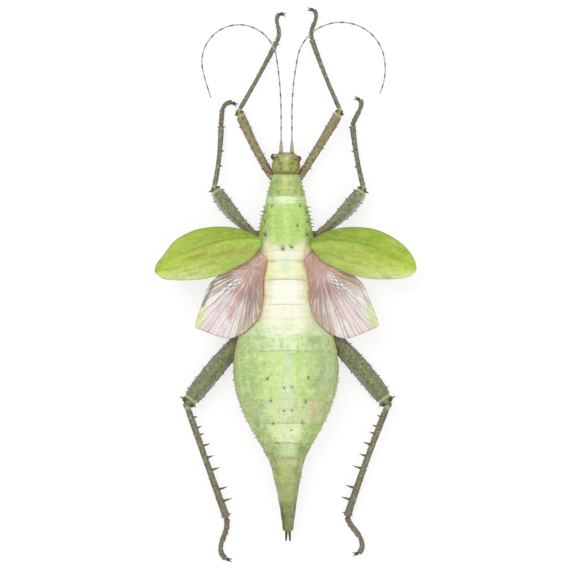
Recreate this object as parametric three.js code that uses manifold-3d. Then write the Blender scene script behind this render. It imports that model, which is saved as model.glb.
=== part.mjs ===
// A female jungle nymph, a large spiny stick insect, dried and spread, at life size.
// Millimetres. +Z is up, +Y points to the head and +X to the insect's own right side.
// It lies on its belly and six feet, with both pairs of wings opened above the legs.
// Each plate, limb piece and wing is one closed solid, named for what it is.
import * as THREE from "three";
import { mergeVertices } from "three/addons/utils/BufferGeometryUtils.js";
import Module from "manifold-3d";

const wasm = await Module();
wasm.setup();

// ---- Driving dimensions ---------------------------------------------------------------

const GAP = 0.3; // clearance between neighbouring pieces
const CUTTER_GAP = 0.34; // a neighbour is grown by this before it cuts a piece
const HEAD_REAR = 43.8; // y of the joint between head and pronotum
const DORSAL_POWER = 2.3; // the back's section: 2 is an ellipse, more is squarer
const VENTRAL_POWER = 1.7; // the belly's section, a little keeled
const PLATE_FLARE = 0.012; // how much a plate's rear edge stands out
const TRUNK_REACH = 60; // more than the trunk measures any way from its tail plate
const WELD = 1e-4; // points nearer than this are one point
const SPIKE = { thinnest: 0.16, taper: 0.13 }; // a spine's base radius, and what each mm of length adds

// The body's plates from the pronotum to the tail, with their lengths along y.
const PLATES = [
  ["pronotum", 8.6],
  ["mesothorax", 21.6],
  ["metathorax", 21.8],
  ["abdomen_2", 9.5],
  ["abdomen_3", 8.9],
  ["abdomen_4", 9.8],
  ["abdomen_5", 9.5],
  ["abdomen_6", 9.4],
  ["abdomen_7", 7.9],
  ["abdomen_8", 6.2],
  ["abdomen_9", 8.2],
];

// The trunk at stations along y: half width, height of the back, of the widest line, of the belly.
const TRUNK = [
  [45, 4.9, 10.4, 6.0, 2.6],
  [40, 6.3, 11.4, 6.3, 2.0],
  [35, 7.7, 12.1, 6.6, 1.6],
  [31.5, 8.5, 12.3, 6.8, 1.3],
  [26, 9.7, 13.3, 7.0, 1.1],
  [18, 11.1, 14.2, 7.4, 0.8],
  [8, 11.8, 14.6, 7.6, 0.7],
  [-2, 12.8, 15.2, 7.9, 0.6],
  [-12, 15.2, 16.6, 8.4, 0.3],
  [-21, 18.9, 18.2, 8.9, -0.3],
  [-33, 21.0, 19.2, 9.2, -0.6],
  [-42, 20.0, 18.9, 9.2, -0.6],
  [-50, 17.4, 17.8, 9.0, -0.4],
  [-57, 14.2, 16.2, 8.6, -0.1],
  [-64, 10.2, 14.1, 8.0, 0.5],
  [-71, 6.9, 12.0, 7.3, 1.2],
  [-78, 5.2, 10.4, 6.7, 2.0],
  [-88, 3.4, 8.8, 6.0, 2.8],
  [-100, 1.8, 7.0, 5.2, 3.8],
];
const TAIL_LEAN = { from: -52, to: -96, shift: 0.8 }; // the tail bends a little to its right

// The head capsule, from the nape to the brow, in the same columns.
const HEAD = [
  [43.4, 4.6, 10.2, 6.2, 2.8],
  [45.0, 5.4, 11.1, 6.2, 1.8],
  [47.2, 5.6, 11.0, 6.0, 1.3],
  [49.6, 5.0, 10.2, 5.8, 1.4],
  [51.6, 4.1, 9.1, 5.6, 1.9],
  [52.7, 3.2, 7.9, 5.2, 2.8],
];
const HEAD_FRONT = 52.5;
const CROWN = { y: 45.6, height: 2.0, radius: 2.3, sunk: 0.6, lean: 0.35 }; // the cone on top of the head
const THORN_BACK = -0.4; // how far a thorn leans back for each mm that it rises
// Thorns on each side of the head: place, lean sideways, length.
const THORNS = [
  [1.9, 46.2, 11.0, 0.5, 1.1],
  [3.9, 45.4, 9.6, 1.2, 0.9],
  [5.2, 47.6, 5.8, 4, 0.7],
];
const EYE = { x: 4.9, y: { left: 50.7, right: 49.9 }, z: 7.1, radius: 1.25 };
const MOUTH = { size: [2.7, 1.6, 1.9], centre: [0, 50.8, 2.3] };
const PALP = { radius: 0.42, points: [[1.7, 50.7, 2.0], [2.5, 52.0, 1.1], [1.5, 52.2, 0.8]] };

const TAIL = { split: 5.4, epiproctEnd: -98.8, operculumEnd: -96.6 };
const VALVE = {
  root: 2.6,
  length: 6.4,
  radius: 0.75,
  narrow: 0.62,
  taper: 0.55,
  apart: 0.5,
  spread: 0.3,
  drop: 0.4,
};

// The spines along the plates' side edges; every second one is shorter.
const MARGIN = { inset: 0.97, first: 0.6, short: 0.8, back: -0.25, rise: 0.15 };
// How many of them each side edge of a plate has, and how long they are.
const MARGIN_SPINES = {
  pronotum: [4, 0.9],
  mesothorax: [8, 1.6],
  metathorax: [4, 0.8],
  abdomen_5: [4, 0.8],
  abdomen_6: [4, 0.8],
  abdomen_7: [4, 0.7],
};
const BACK_LEAN = { sideways: 0.6, back: -0.4, sunk: 0.1 };
// Pairs of spines on the back: plate, share of its length from the front, share of half width, length.
const BACK_SPINES = [
  ["mesothorax", 0.2, 0.68, 0.9],
  ["mesothorax", 0.45, 0.78, 1.0],
  ["mesothorax", 0.8, 0.76, 1.1],
  ["mesothorax", 0.93, 0.15, 1.1],
  ["abdomen_5", 0.12, 0.42, 0.9],
  ["abdomen_5", 0.5, 0.09, 0.7],
  ["abdomen_6", 0.14, 0.38, 0.9],
  ["abdomen_6", 0.52, 0.09, 0.7],
  ["abdomen_7", 0.1, 0.4, 0.8],
  ["abdomen_7", 0.5, 0.1, 0.6],
];

// A feeler's bends are its headings, in degrees outwards from +Y, at lengths along it.
const ANTENNA = {
  scape: { length: 4.6, radius: 0.72 },
  radius: 0.27,
  rootZ: 6.9,
  tipZ: 4.6,
  cuts: [0, 0.4, 0.64, 1], // where each feeler is divided, as shares of its length
  narrowing: [0.4, 1.3], // where it narrows to its thread, in lengths of the scape
  rootClear: 0.1, // how far in front of the brow it starts
  socket: [-0.8, 2], // the hole for its root, from the brow's front edge
  steps: 48,
  left: { x: 1.95, bends: [[0, 0], [14, 0], [38, 9], [54, 69], [70, 131], [86, 193], [97.5, 200]] },
  right: { x: 2.35, bends: [[0, 0], [14, 0], [38, 11], [54, 65], [70, 115], [86, 169], [101, 205]] },
};

// Joints of each leg, as places on the insect's right side that its left side mirrors.
// A bow is how far the femur's or shin's middle lies outwards of the straight line between joints.
// A foot's turns are its headings in degrees from +X towards +Y, evenly spaced along it. Its claws
// point the way that their own heading says. A tooth is a share of the tibia and a length.
const LEGS = [
  {
    name: "front",
    socket: [3.5, 39.6, 3.8],
    hip: [6.3, 43.9, 4.2],
    coxa: 1.5,
    femur: { width: 1.8, height: 1.7, shape: [[0, 0.84], [0.5, 0.87], [0.85, 1], [1, 0.82]] },
    spines: { outer: [0.14, 0.45, 0.78], inner: [0.3, 0.72, 0.92], length: 1 },
    kneeTooth: 0.6,
    tibia: { radius: 0.98, spur: 0.5, teeth: [] },
    foot: { radius: 0.86, ankleZ: 1.8 },
    left: {
      knee: [18.9, 68.9, 6.4],
      bow: 0.55,
      ankle: [3.6, 96.9],
      shinBow: -0.3,
      foot: { length: 11.7, turns: [112, 104, 86, 74, 80, 104, 146], claws: 192 },
    },
    right: {
      knee: [21.7, 69.1, 6.4],
      bow: 0.2,
      ankle: [10.3, 97.8],
      shinBow: -0.45,
      foot: { length: 12.3, turns: [98, 90, 74, 65, 76, 98, 136], claws: 176 },
    },
  },
  {
    name: "middle",
    socket: [7.2, 16.4, 3.4],
    hip: [12.5, 19.9, 4.3],
    coxa: 2.1,
    femur: {
      width: 2.8,
      height: 2.6,
      shape: [[0, 0.52], [0.2, 0.6], [0.47, 0.86], [0.68, 1], [0.87, 0.88], [1, 0.56]],
    },
    spines: { outer: [0.5, 0.66, 0.8], inner: [0.26, 0.5, 0.7, 0.88], length: 1.1 },
    kneeTooth: 1.1,
    tibia: { radius: 1.12, spur: 0.6, teeth: [[0.38, 1], [0.61, 1]] },
    foot: { radius: 0.98, ankleZ: 1.8 },
    left: {
      knee: [28.7, 38.6, 6],
      bow: 1.3,
      ankle: [25.9, 63.4],
      shinBow: -0.65,
      foot: { length: 11.6, turns: [92, 95, 94, 108, 150, 186], claws: 212 },
    },
    right: {
      knee: [31, 38.3, 6],
      bow: 1.4,
      ankle: [26.6, 63.3],
      shinBow: -0.6,
      foot: { length: 11.2, turns: [72, 66, 62, 65, 80, 130], claws: 160 },
    },
  },
  {
    name: "hind",
    socket: [8.4, -5.6, 3.6],
    hip: [12.2, -15.7, 4.1],
    coxa: 2.3,
    femur: {
      width: 3.7,
      height: 3,
      shape: [[0, 0.62], [0.2, 0.8], [0.42, 0.93], [0.6, 0.98], [0.87, 0.89], [1, 0.62]],
    },
    spines: { outer: [0.36, 0.5, 0.62, 0.74, 0.86], inner: [0.42, 0.56, 0.7, 0.84], length: 1.2 },
    kneeTooth: 1.7,
    tibia: {
      radius: 1.46,
      spur: 1,
      teeth: [
        [0.14, 1.4],
        [0.23, 1.8],
        [0.29, 1.8],
        [0.38, 2.8],
        [0.485, 2.6],
        [0.59, 3.3],
        [0.76, 3.5],
        [0.86, 3.6],
      ],
    },
    foot: { radius: 1.12, ankleZ: 1.9 },
    left: {
      knee: [39.6, -48.2, 5.8],
      bow: 0.6,
      ankle: [23.7, -93.5],
      shinBow: 0.1,
      foot: { length: 17.4, turns: [-96, -86, -70, -68, -82, -112, -144], claws: -166 },
    },
    right: {
      knee: [40.8, -48.0, 5.8],
      bow: 1.3,
      ankle: [24.4, -92.9],
      shinBow: -0.45,
      foot: { length: 16.7, turns: [-74, -60, -50, -55, -70, -98, -142], claws: -168 },
    },
  },
];
const TIBIA_SHAPE = [[0, 0.86], [0.1, 0.92], [0.5, 0.86], [0.85, 1], [1, 1.08]];
const COXA_SHAPE = [[0, 0.95], [0.5, 1], [1, 0.85]];
const EDGE_INSET = 0.93; // a limb's spines stand at this share of its half width
const THIGH_SPINE_LEAN = 0.4;
const KNEE_TOOTH = { along: 0.97, lean: 0.2 };
const SPUR = { along: 0.97, lean: 0.3 };
// A foot has short round pads up to a share of its length, then one long joint that widens.
const FOOT = {
  toes: 4,
  toesEnd: 0.55,
  pad: [0.84, 0.16],
  lastJoint: [0.78, 1.02],
  restHeight: 0.86,
  settle: 0.4,
  steps: 14,
};
// Two hooked claws and the round pad between them.
const CLAW = { length: 1.9, radius: 0.3, taper: 0.75, spread: 24, bend: 0.6, arch: 0.45 };
const PAD = { radius: 0.72, ahead: 0.75, clear: 0.1 };

// A wing is drawn along an axis from its root to its tip, with how far it reaches each side.
// Where along a wing its front edge is slimmer, and over what share of its length.
const SLIMMING = { at: 0.88, spread: 0.09 };
const FOREWING = {
  left: { root: [10.2, 17.2], length: 43.8, heading: -16.4, slimmer: 1.4 },
  right: { root: [10.2, 16.5], length: 43.0, heading: -14.6, slimmer: 0 },
  grain: [10, 5],
  thickness: 0.6,
  ahead: [
    [0, 1.6], [0.12, 6.1], [0.25, 9], [0.4, 10.8], [0.55, 11.4],
    [0.7, 10.3], [0.82, 8.4], [0.91, 5.8], [0.97, 3], [1, 0.5],
  ],
  behind: [
    [0, 1.8], [0.13, 5.8], [0.28, 7.4], [0.45, 8.5], [0.6, 8.2],
    [0.74, 6.9], [0.89, 4.8], [0.96, 3], [1, 0.5],
  ],
  rootZ: 13.7,
  midRise: 1.2,
  tipDrop: 1.2,
  aheadDrop: 2.0,
  behindDrop: 0.6,
};
const HINDWING = {
  left: { root: [8.3, 10.6], length: 39.3, heading: -45.4, slimmer: 0 },
  right: { root: [8.0, 10.0], length: 39.3, heading: -43.2, slimmer: 0 },
  grain: [10, 6],
  thickness: 0.5,
  ahead: [[0, 4.2], [0.2, 6.6], [0.39, 7.8], [0.59, 8.2], [0.77, 5.2], [0.915, 2.5], [1, 0.5]],
  behind: [
    [0, 1.0], [0.19, 6.3], [0.33, 11.5], [0.47, 14.9],
    [0.62, 15.3], [0.75, 14.4], [0.87, 11.1], [1, 0.5],
  ],
  rootZ: 11.7,
  midRise: 0,
  tipDrop: 1.2,
  aheadDrop: 0.5,
  behindDrop: 0.2,
};
const WING_OVER_BODY = 1.15; // height of a wing's middle layer over the back that it lies on
const WING_BLEND = 1.2; // how softly a wing lifts over the body

// ---- Small tools ------------------------------------------------------------------------

const radians = THREE.MathUtils.degToRad;
const lerp = THREE.MathUtils.lerp;
const UP = new THREE.Vector3(0, 0, 1);

// A smooth line through rows of [place, value, value...], as a function of the place.
function smoothRows(rows) {
  const ordered = rows[0][0] < rows[rows.length - 1][0] ? rows : [...rows].reverse();
  const slope = (i, k) => {
    const a = ordered[Math.max(0, i - 1)];
    const b = ordered[Math.min(ordered.length - 1, i + 1)];
    return (b[k] - a[k]) / (b[0] - a[0]);
  };
  return (place) => {
    const held = THREE.MathUtils.clamp(place, ordered[0][0], ordered[ordered.length - 1][0]);
    const next = Math.max(1, ordered.findIndex((row) => row[0] >= held));
    const [a, b] = [ordered[next - 1], ordered[next]];
    const width = b[0] - a[0];
    const t = (held - a[0]) / width;
    return a.slice(1).map((value, column) => {
      const k = column + 1;
      const [rise, run] = [t * t * (3 - 2 * t), t * (1 - t)];
      return lerp(value, b[k], rise) + width * run * ((1 - t) * slope(next - 1, k) - t * slope(next, k));
    });
  };
}

// A geometry as a solid that can be joined and cut.
function solidOf(geometry) {
  geometry.deleteAttribute("normal");
  geometry.deleteAttribute("uv");
  const merged = mergeVertices(geometry, WELD);
  return new wasm.Manifold(
    new wasm.Mesh({
      numProp: 3,
      vertProperties: merged.getAttribute("position").array,
      triVerts: new Uint32Array(merged.index.array),
    }),
  );
}

// A closed drum whose points are put in place by a function of (share along, angle, share out).
function drum(sides, rings, place) {
  const geometry = new THREE.CylinderGeometry(1, 1, 1, sides, rings, false, Math.PI / 2);
  const spots = geometry.getAttribute("position");
  for (let i = 0; i < spots.count; i++) {
    const [x, y, z] = [spots.getX(i), spots.getY(i), spots.getZ(i)];
    spots.setXYZ(i, ...place(y + 0.5, Math.atan2(z, x), Math.min(1, Math.hypot(x, z))));
  }
  return solidOf(geometry);
}

const biggest = (solid) => solid.decompose().sort((a, b) => b.volume() - a.volume())[0];
const signedPower = (value, power) => Math.sign(value) * Math.abs(value) ** power;

// A thin cone that stands on a point and leans in a direction.
function spike(base, direction, length) {
  const radius = SPIKE.thinnest + SPIKE.taper * length;
  const geometry = new THREE.ConeGeometry(radius, length + radius, 3, 1);
  geometry.translate(0, (length - radius) / 2, 0);
  const upright = new THREE.Vector3(0, 1, 0);
  const turn = new THREE.Quaternion().setFromUnitVectors(upright, direction.clone().normalize());
  geometry.applyQuaternion(turn);
  geometry.translate(base.x, base.y, base.z);
  return solidOf(geometry);
}

// A round limb along a curve. size gives [half width, half height] at each share of its length.
function limb(curve, size, { sides = 8, rings = 6, grow = 0 } = {}) {
  return drum(sides, rings, (along, angle, out) => {
    const reach = grow * (along * 2 - 1); // a cutter is longer as well as thicker
    const centre = curve.getPoint(along);
    const ahead = curve.getTangent(along);
    const side = new THREE.Vector3().crossVectors(ahead, UP).normalize();
    const top = new THREE.Vector3().crossVectors(side, ahead);
    const [width, height] = size(along);
    centre.addScaledVector(ahead, reach);
    centre.addScaledVector(side, out * (width + grow) * Math.cos(angle));
    centre.addScaledVector(top, out * (height + grow) * Math.sin(angle));
    return [centre.x, centre.y, Math.max(centre.z, -grow)];
  });
}

// A piece of limb between two joints that bows away from the body's middle line.
function bowed(from, to, bow) {
  const outwards = new THREE.Vector3(to.y - from.y, from.x - to.x, 0).normalize();
  if (outwards.x * from.x < 0) outwards.negate();
  const middle = from.clone().lerp(to, 0.5).addScaledVector(outwards, 2 * bow);
  return new THREE.QuadraticBezierCurve3(from, middle, to);
}

// A spine on the outer (1) or inner (-1) edge of a limb. It leans by a share of its length along the limb.
function edgeSpine(curve, size, along, edge, length, lean) {
  const ahead = curve.getTangent(along);
  const out = new THREE.Vector3().crossVectors(ahead, UP).normalize();
  const base = curve.getPoint(along);
  out.multiplyScalar(out.x * base.x < 0 ? -edge : edge);
  base.addScaledVector(out, size(along)[0] * EDGE_INSET);
  return spike(base, out.addScaledVector(ahead, lean), length);
}

// ---- The trunk and head -------------------------------------------------------------------

const trunkAt = smoothRows(TRUNK);
const headAt = smoothRows(HEAD);

// A point on the skin at y and an angle round it (0 is the right side, 90 degrees the back).
function skinPoint(rowAt, y, angle, out = 1, grow = 0, flare = 0) {
  const [halfWidth, back, widest, belly] = rowAt(y);
  const [c, s] = [Math.cos(angle), Math.sin(angle)];
  const power = 2 / (s >= 0 ? DORSAL_POWER : VENTRAL_POWER);
  const height = (s >= 0 ? back - widest : widest - belly) * (1 + flare) + grow;
  const lean = TAIL_LEAN.shift * THREE.MathUtils.smoothstep(-y, -TAIL_LEAN.from, -TAIL_LEAN.to);
  const x = lean + out * (halfWidth * (1 + flare) + grow) * signedPower(c, power);
  const z = widest + out * height * signedPower(s, power);
  return [x, y, Math.max(z, -grow)];
}

// Height of the back above a point of the plan, or nothing beside the body.
function backHeight(x, y) {
  const [halfWidth, back, widest] = trunkAt(y);
  const share = Math.min(1, Math.abs(x) / halfWidth) ** DORSAL_POWER;
  return widest + (back - widest) * (1 - share) ** (1 / DORSAL_POWER);
}

function ringPiece(rowAt, front, rear, { sides = 20, rings = 2, grow = 0, flare = 0 } = {}) {
  return drum(sides, rings, (along, angle, out) => {
    const y = lerp(rear - grow, front + grow, along);
    return skinPoint(rowAt, y, angle, out, grow, flare * (1 - along) ** 2);
  });
}

const wholeTrunk = ringPiece(trunkAt, HEAD_REAR, TAIL.epiproctEnd, { rings: 20, grow: CUTTER_GAP });
const wholeHead = ringPiece(headAt, HEAD_FRONT, HEAD_REAR, { rings: 6, grow: CUTTER_GAP });

function marginSpines(front, rear, [count, length]) {
  const made = [];
  for (const side of [-1, 1])
    for (let i = 0; i < count; i++) {
      const y = lerp(front, rear, (i + MARGIN.first) / count);
      const [halfWidth, , widest] = trunkAt(y);
      const base = new THREE.Vector3(side * halfWidth * MARGIN.inset, y, widest);
      const grown = length * (i % 2 ? 1 : MARGIN.short);
      made.push(spike(base, new THREE.Vector3(side, MARGIN.back, MARGIN.rise), grown));
    }
  return made;
}

function backSpines(name, front, rear) {
  return BACK_SPINES.filter(([plate]) => plate === name).flatMap(([, along, across, length]) =>
    [-1, 1].map((side) => {
      const y = lerp(front, rear, along);
      const x = side * across * trunkAt(y)[0];
      const lean = new THREE.Vector3(side * across * BACK_LEAN.sideways, BACK_LEAN.back, 1);
      return spike(new THREE.Vector3(x, y, backHeight(x, y) - BACK_LEAN.sunk), lean, length);
    }),
  );
}

function makeTrunk(cutters) {
  const made = {};
  let front = HEAD_REAR;
  for (const [name, length] of PLATES) {
    const ends = [front - GAP / 2, front - length + GAP / 2];
    const plate = ringPiece(trunkAt, ...ends, { rings: length > 12 ? 3 : 2, flare: PLATE_FLARE });
    const spines = backSpines(name, ...ends);
    if (MARGIN_SPINES[name]) spines.push(...marginSpines(...ends, MARGIN_SPINES[name]));
    const whole = wasm.Manifold.union([plate, ...spines]);
    made[name] = biggest(cutters.reduce((body, cutter) => body.subtract(cutter), whole));
    front -= length;
  }
  return { made, tailFront: front };
}

// One of the two dark valves that end the tail.
function makeValve(side, grow) {
  const x = TAIL_LEAN.shift + side * VALVE.apart;
  const from = new THREE.Vector3(x, TAIL.epiproctEnd + VALVE.root, TAIL.split);
  const to = from.clone().add(new THREE.Vector3(side * VALVE.spread, -VALVE.length, -VALVE.drop));
  const size = (t) => {
    const height = VALVE.radius * (1 - VALVE.taper * t * t);
    return [height * VALVE.narrow, height];
  };
  return limb(new THREE.LineCurve3(from, to), size, { sides: 6, rings: 2, grow });
}

// The tail beak: the epiproct above, the operculum below, and the valves between their ends.
function makeTail(front) {
  const beak = (end) => ringPiece(trunkAt, front - GAP / 2, end, { rings: 4, sides: 16 });
  const slab = (low, high) => {
    const box = new THREE.BoxGeometry(2 * TRUNK_REACH, 2 * TRUNK_REACH, high - low);
    return solidOf(box.translate(0, front, (low + high) / 2));
  };
  const bore = wasm.Manifold.union([-1, 1].map((side) => makeValve(side, GAP)));
  const upper = slab(TAIL.split + GAP / 2, TRUNK_REACH);
  const lower = slab(-TRUNK_REACH, TAIL.split - GAP / 2);
  return {
    epiproct: biggest(beak(TAIL.epiproctEnd).intersect(upper).subtract(bore)),
    operculum: biggest(beak(TAIL.operculumEnd).intersect(lower).subtract(bore)),
    valve_left: makeValve(-1, 0),
    valve_right: makeValve(1, 0),
  };
}

function makeHead(feelerRoots) {
  const skull = ringPiece(headAt, HEAD_FRONT, HEAD_REAR + GAP / 2, { rings: 4, sides: 18 });
  const nape = headAt(CROWN.y)[1] - CROWN.sunk;
  const crown = new THREE.ConeGeometry(CROWN.radius, CROWN.height + CROWN.sunk, 7, 1);
  crown.rotateX(Math.PI / 2 + CROWN.lean).translate(0, CROWN.y, nape + CROWN.height / 2);
  const thorn = ([x, y, z, sideways, length], side) =>
    spike(new THREE.Vector3(side * x, y, z), new THREE.Vector3(side * sideways, THORN_BACK, 1), length);
  const thorns = THORNS.flatMap((row) => [thorn(row, -1), thorn(row, 1)]);
  const whole = wasm.Manifold.union([skull, solidOf(crown), ...thorns]);
  return biggest(feelerRoots.reduce((body, root) => body.subtract(root), whole));
}

function makeEye(word, side) {
  const { x, y, z, radius } = EYE;
  const ball = new THREE.SphereGeometry(radius, 8, 6).translate(side * x, y[word], z);
  return biggest(solidOf(ball).subtract(wholeHead));
}

// The jaws and lip under the brow, with a palp at each side.
function makeMouth() {
  const lip = new THREE.SphereGeometry(1, 7, 4).scale(...MOUTH.size).translate(...MOUTH.centre);
  const palps = [-1, 1].map((side) => {
    const [from, bend, to] = PALP.points.map(([x, y, z]) => new THREE.Vector3(side * x, y, z));
    const size = () => [PALP.radius, PALP.radius];
    return limb(new THREE.QuadraticBezierCurve3(from, bend, to), size, { sides: 4, rings: 2 });
  });
  return biggest(wasm.Manifold.union([solidOf(lip), ...palps]).subtract(wholeHead));
}

// ---- Feelers ----------------------------------------------------------------------------

// The whole path of one feeler, followed in short steps from the brow.
function feelerPath(side, { x, bends }) {
  const length = bends[bends.length - 1][0];
  const { steps } = ANTENNA;
  const place = new THREE.Vector3(side * x, HEAD_FRONT + ANTENNA.rootClear, ANTENNA.rootZ);
  const points = [place.clone()];
  for (let i = 0; i < steps; i++) {
    const spot = ((i + 0.5) / steps) * length;
    const next = bends.findIndex(([along]) => along >= spot);
    const [[start, before], [end, after]] = [bends[next - 1], bends[next]];
    const heading = radians(lerp(before, after, (spot - start) / (end - start)));
    place.x += (side * Math.sin(heading) * length) / steps;
    place.y += (Math.cos(heading) * length) / steps;
    place.z = lerp(ANTENNA.rootZ, ANTENNA.tipZ, (i + 1) / steps);
    points.push(place.clone());
  }
  return new THREE.CatmullRomCurve3(points);
}

// One stretch of a curve, between two shares of its length.
class Stretch extends THREE.Curve {
  constructor(whole, from, to) {
    super();
    Object.assign(this, { whole, from, to });
  }
  getPoint(t) {
    return this.whole.getPoint(lerp(this.from, this.to, t));
  }
  getTangent(t) {
    return this.whole.getTangent(lerp(this.from, this.to, t));
  }
}

function makeFeeler(side, shape) {
  const path = feelerPath(side, shape);
  const length = path.getLength();
  const [narrowing, narrow] = ANTENNA.narrowing.map((share) => (share * ANTENNA.scape.length) / length);
  const radius = (share) =>
    lerp(ANTENNA.scape.radius, ANTENNA.radius, THREE.MathUtils.smoothstep(share, narrowing, narrow));
  return ANTENNA.cuts.slice(1).map((end, i) => {
    const from = ANTENNA.cuts[i] + GAP / 2 / length;
    const to = end < 1 ? end - GAP / 2 / length : end;
    const size = (t) => Array(2).fill(radius(lerp(from, to, t)));
    return limb(new Stretch(path, from, to), size, { sides: 4, rings: 8 });
  });
}

// A blind hole in the brow for each feeler's root.
function feelerRoot(side, { x }) {
  const spot = (y) => new THREE.Vector3(side * x, HEAD_FRONT + y, ANTENNA.rootZ);
  const [from, to] = ANTENNA.socket.map(spot);
  const size = () => [ANTENNA.scape.radius, ANTENNA.scape.radius];
  return limb(new THREE.LineCurve3(from, to), size, { sides: 6, rings: 1, grow: GAP });
}

// ---- Legs -------------------------------------------------------------------------------

const shaped = (rows, width, height) => {
  const at = smoothRows(rows);
  return (t) => at(t).flatMap((share) => [share * width, share * height]);
};

// The foot's path: its heading swings through its turns while it comes down to the floor.
function footPath(ankle, { length, turns }, radius) {
  const { steps } = FOOT;
  const place = ankle.clone();
  const points = [ankle.clone()];
  for (let i = 0; i < steps; i++) {
    const spot = ((i + 0.5) / steps) * (turns.length - 1);
    const at = Math.floor(spot);
    const heading = radians(lerp(turns[at], turns[at + 1], spot - at));
    place.x += (Math.sign(ankle.x) * Math.cos(heading) * length) / steps;
    place.y += (Math.sin(heading) * length) / steps;
    place.z = lerp(place.z, radius * FOOT.restHeight, FOOT.settle);
    points.push(place.clone());
  }
  return new THREE.CatmullRomCurve3(points);
}

// A foot is widest at each of its short pads and at its end.
function footSize(radius) {
  return (t) => {
    const [low, rise] = FOOT.pad;
    const pad = low + rise * Math.abs(Math.sin((Math.PI * FOOT.toes * t) / FOOT.toesEnd));
    const last = (t - FOOT.toesEnd) / (1 - FOOT.toesEnd);
    const share = last < 0 ? pad : lerp(...FOOT.lastJoint, last);
    return [radius * share, radius * share];
  };
}

// The round pad between two hooked claws.
function makeClaws(end, heading, grow) {
  const flat = new THREE.Vector3(Math.sign(end.x) * Math.cos(heading), Math.sin(heading), 0);
  const centre = end.clone().addScaledVector(flat, PAD.radius * PAD.ahead + GAP);
  centre.z = PAD.radius + PAD.clear;
  const pad = new THREE.SphereGeometry(PAD.radius + grow, 6, 4).rotateX(Math.PI / 2);
  const hooks = [-1, 1].map((side) => {
    const way = flat.clone().applyAxisAngle(UP, radians(side * CLAW.spread));
    const tip = centre.clone().addScaledVector(way, CLAW.length);
    const bend = centre.clone().addScaledVector(way, CLAW.length * CLAW.bend);
    bend.z += CLAW.arch;
    tip.z -= CLAW.arch;
    const size = (t) => Array(2).fill(CLAW.radius * (1 - CLAW.taper * t * t));
    return limb(new THREE.QuadraticBezierCurve3(centre, bend, tip), size, { sides: 4, rings: 2, grow });
  });
  return wasm.Manifold.union([solidOf(pad.translate(...centre)), ...hooks]);
}

// One leg, from the coxa in its socket to the claws. Each piece is cut back from the next.
function makeLeg(leg, word, side) {
  const pose = leg[word];
  const joint = ([x, y, z]) => new THREE.Vector3(side * x, y, z);
  const [socket, hip, knee] = [leg.socket, leg.hip, pose.knee].map(joint);
  const ankle = joint([...pose.ankle, leg.foot.ankleZ]);
  const curves = {
    coxa: bowed(socket, hip, 0),
    femur: bowed(hip, knee, pose.bow),
    tibia: bowed(knee, ankle, pose.shinBow),
    foot: footPath(ankle, pose.foot, leg.foot.radius),
  };
  const sizes = {
    coxa: shaped(COXA_SHAPE, leg.coxa, leg.coxa),
    femur: shaped(leg.femur.shape, leg.femur.width, leg.femur.height),
    tibia: shaped(TIBIA_SHAPE, leg.tibia.radius, leg.tibia.radius),
    foot: footSize(leg.foot.radius),
  };
  const build = (grow) => ({
    coxa: limb(curves.coxa, sizes.coxa, { sides: 6, rings: 1, grow }),
    femur: limb(curves.femur, sizes.femur, { sides: 8, rings: 4, grow }),
    tibia: limb(curves.tibia, sizes.tibia, { sides: 6, rings: 4, grow }),
    tarsus: limb(curves.foot, sizes.foot, { sides: 6, rings: 8, grow }),
    claws: makeClaws(curves.foot.getPoint(1), radians(pose.foot.claws), grow),
  });
  const [plain, grown] = [build(0), build(CUTTER_GAP)];

  const { outer, inner, length } = leg.spines;
  const thorn = (share, edge) =>
    edgeSpine(curves.femur, sizes.femur, share, edge, length, THIGH_SPINE_LEAN);
  const thorns = [...outer.map((share) => thorn(share, 1)), ...inner.map((share) => thorn(share, -1))];
  const single = (part, edge, reach, { along, lean }) =>
    edgeSpine(curves[part], sizes[part], along, edge, reach, lean);
  const kneeTooth = single("femur", 1, leg.kneeTooth, KNEE_TOOTH);
  const spur = single("tibia", -1, leg.tibia.spur, SPUR);
  const tooth = ([share, reach]) => edgeSpine(curves.tibia, sizes.tibia, share, -1, reach, 0);
  const spined = wasm.Manifold.union([plain.femur, kneeTooth, ...thorns]);
  const toothed = wasm.Manifold.union([plain.tibia, spur, ...leg.tibia.teeth.map(tooth)]);
  return {
    pieces: {
      coxa: biggest(plain.coxa.subtract(grown.femur)),
      femur: biggest(spined.subtract(grown.tibia)),
      tibia: biggest(toothed.subtract(grown.tarsus)),
      tarsus: biggest(plain.tarsus.subtract(grown.claws)),
      claws: plain.claws,
    },
    cutters: [grown.coxa, grown.femur],
  };
}

// ---- Wings ------------------------------------------------------------------------------

const softMax = (a, b) => (a + b + Math.hypot(a - b, WING_BLEND)) / 2;

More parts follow.
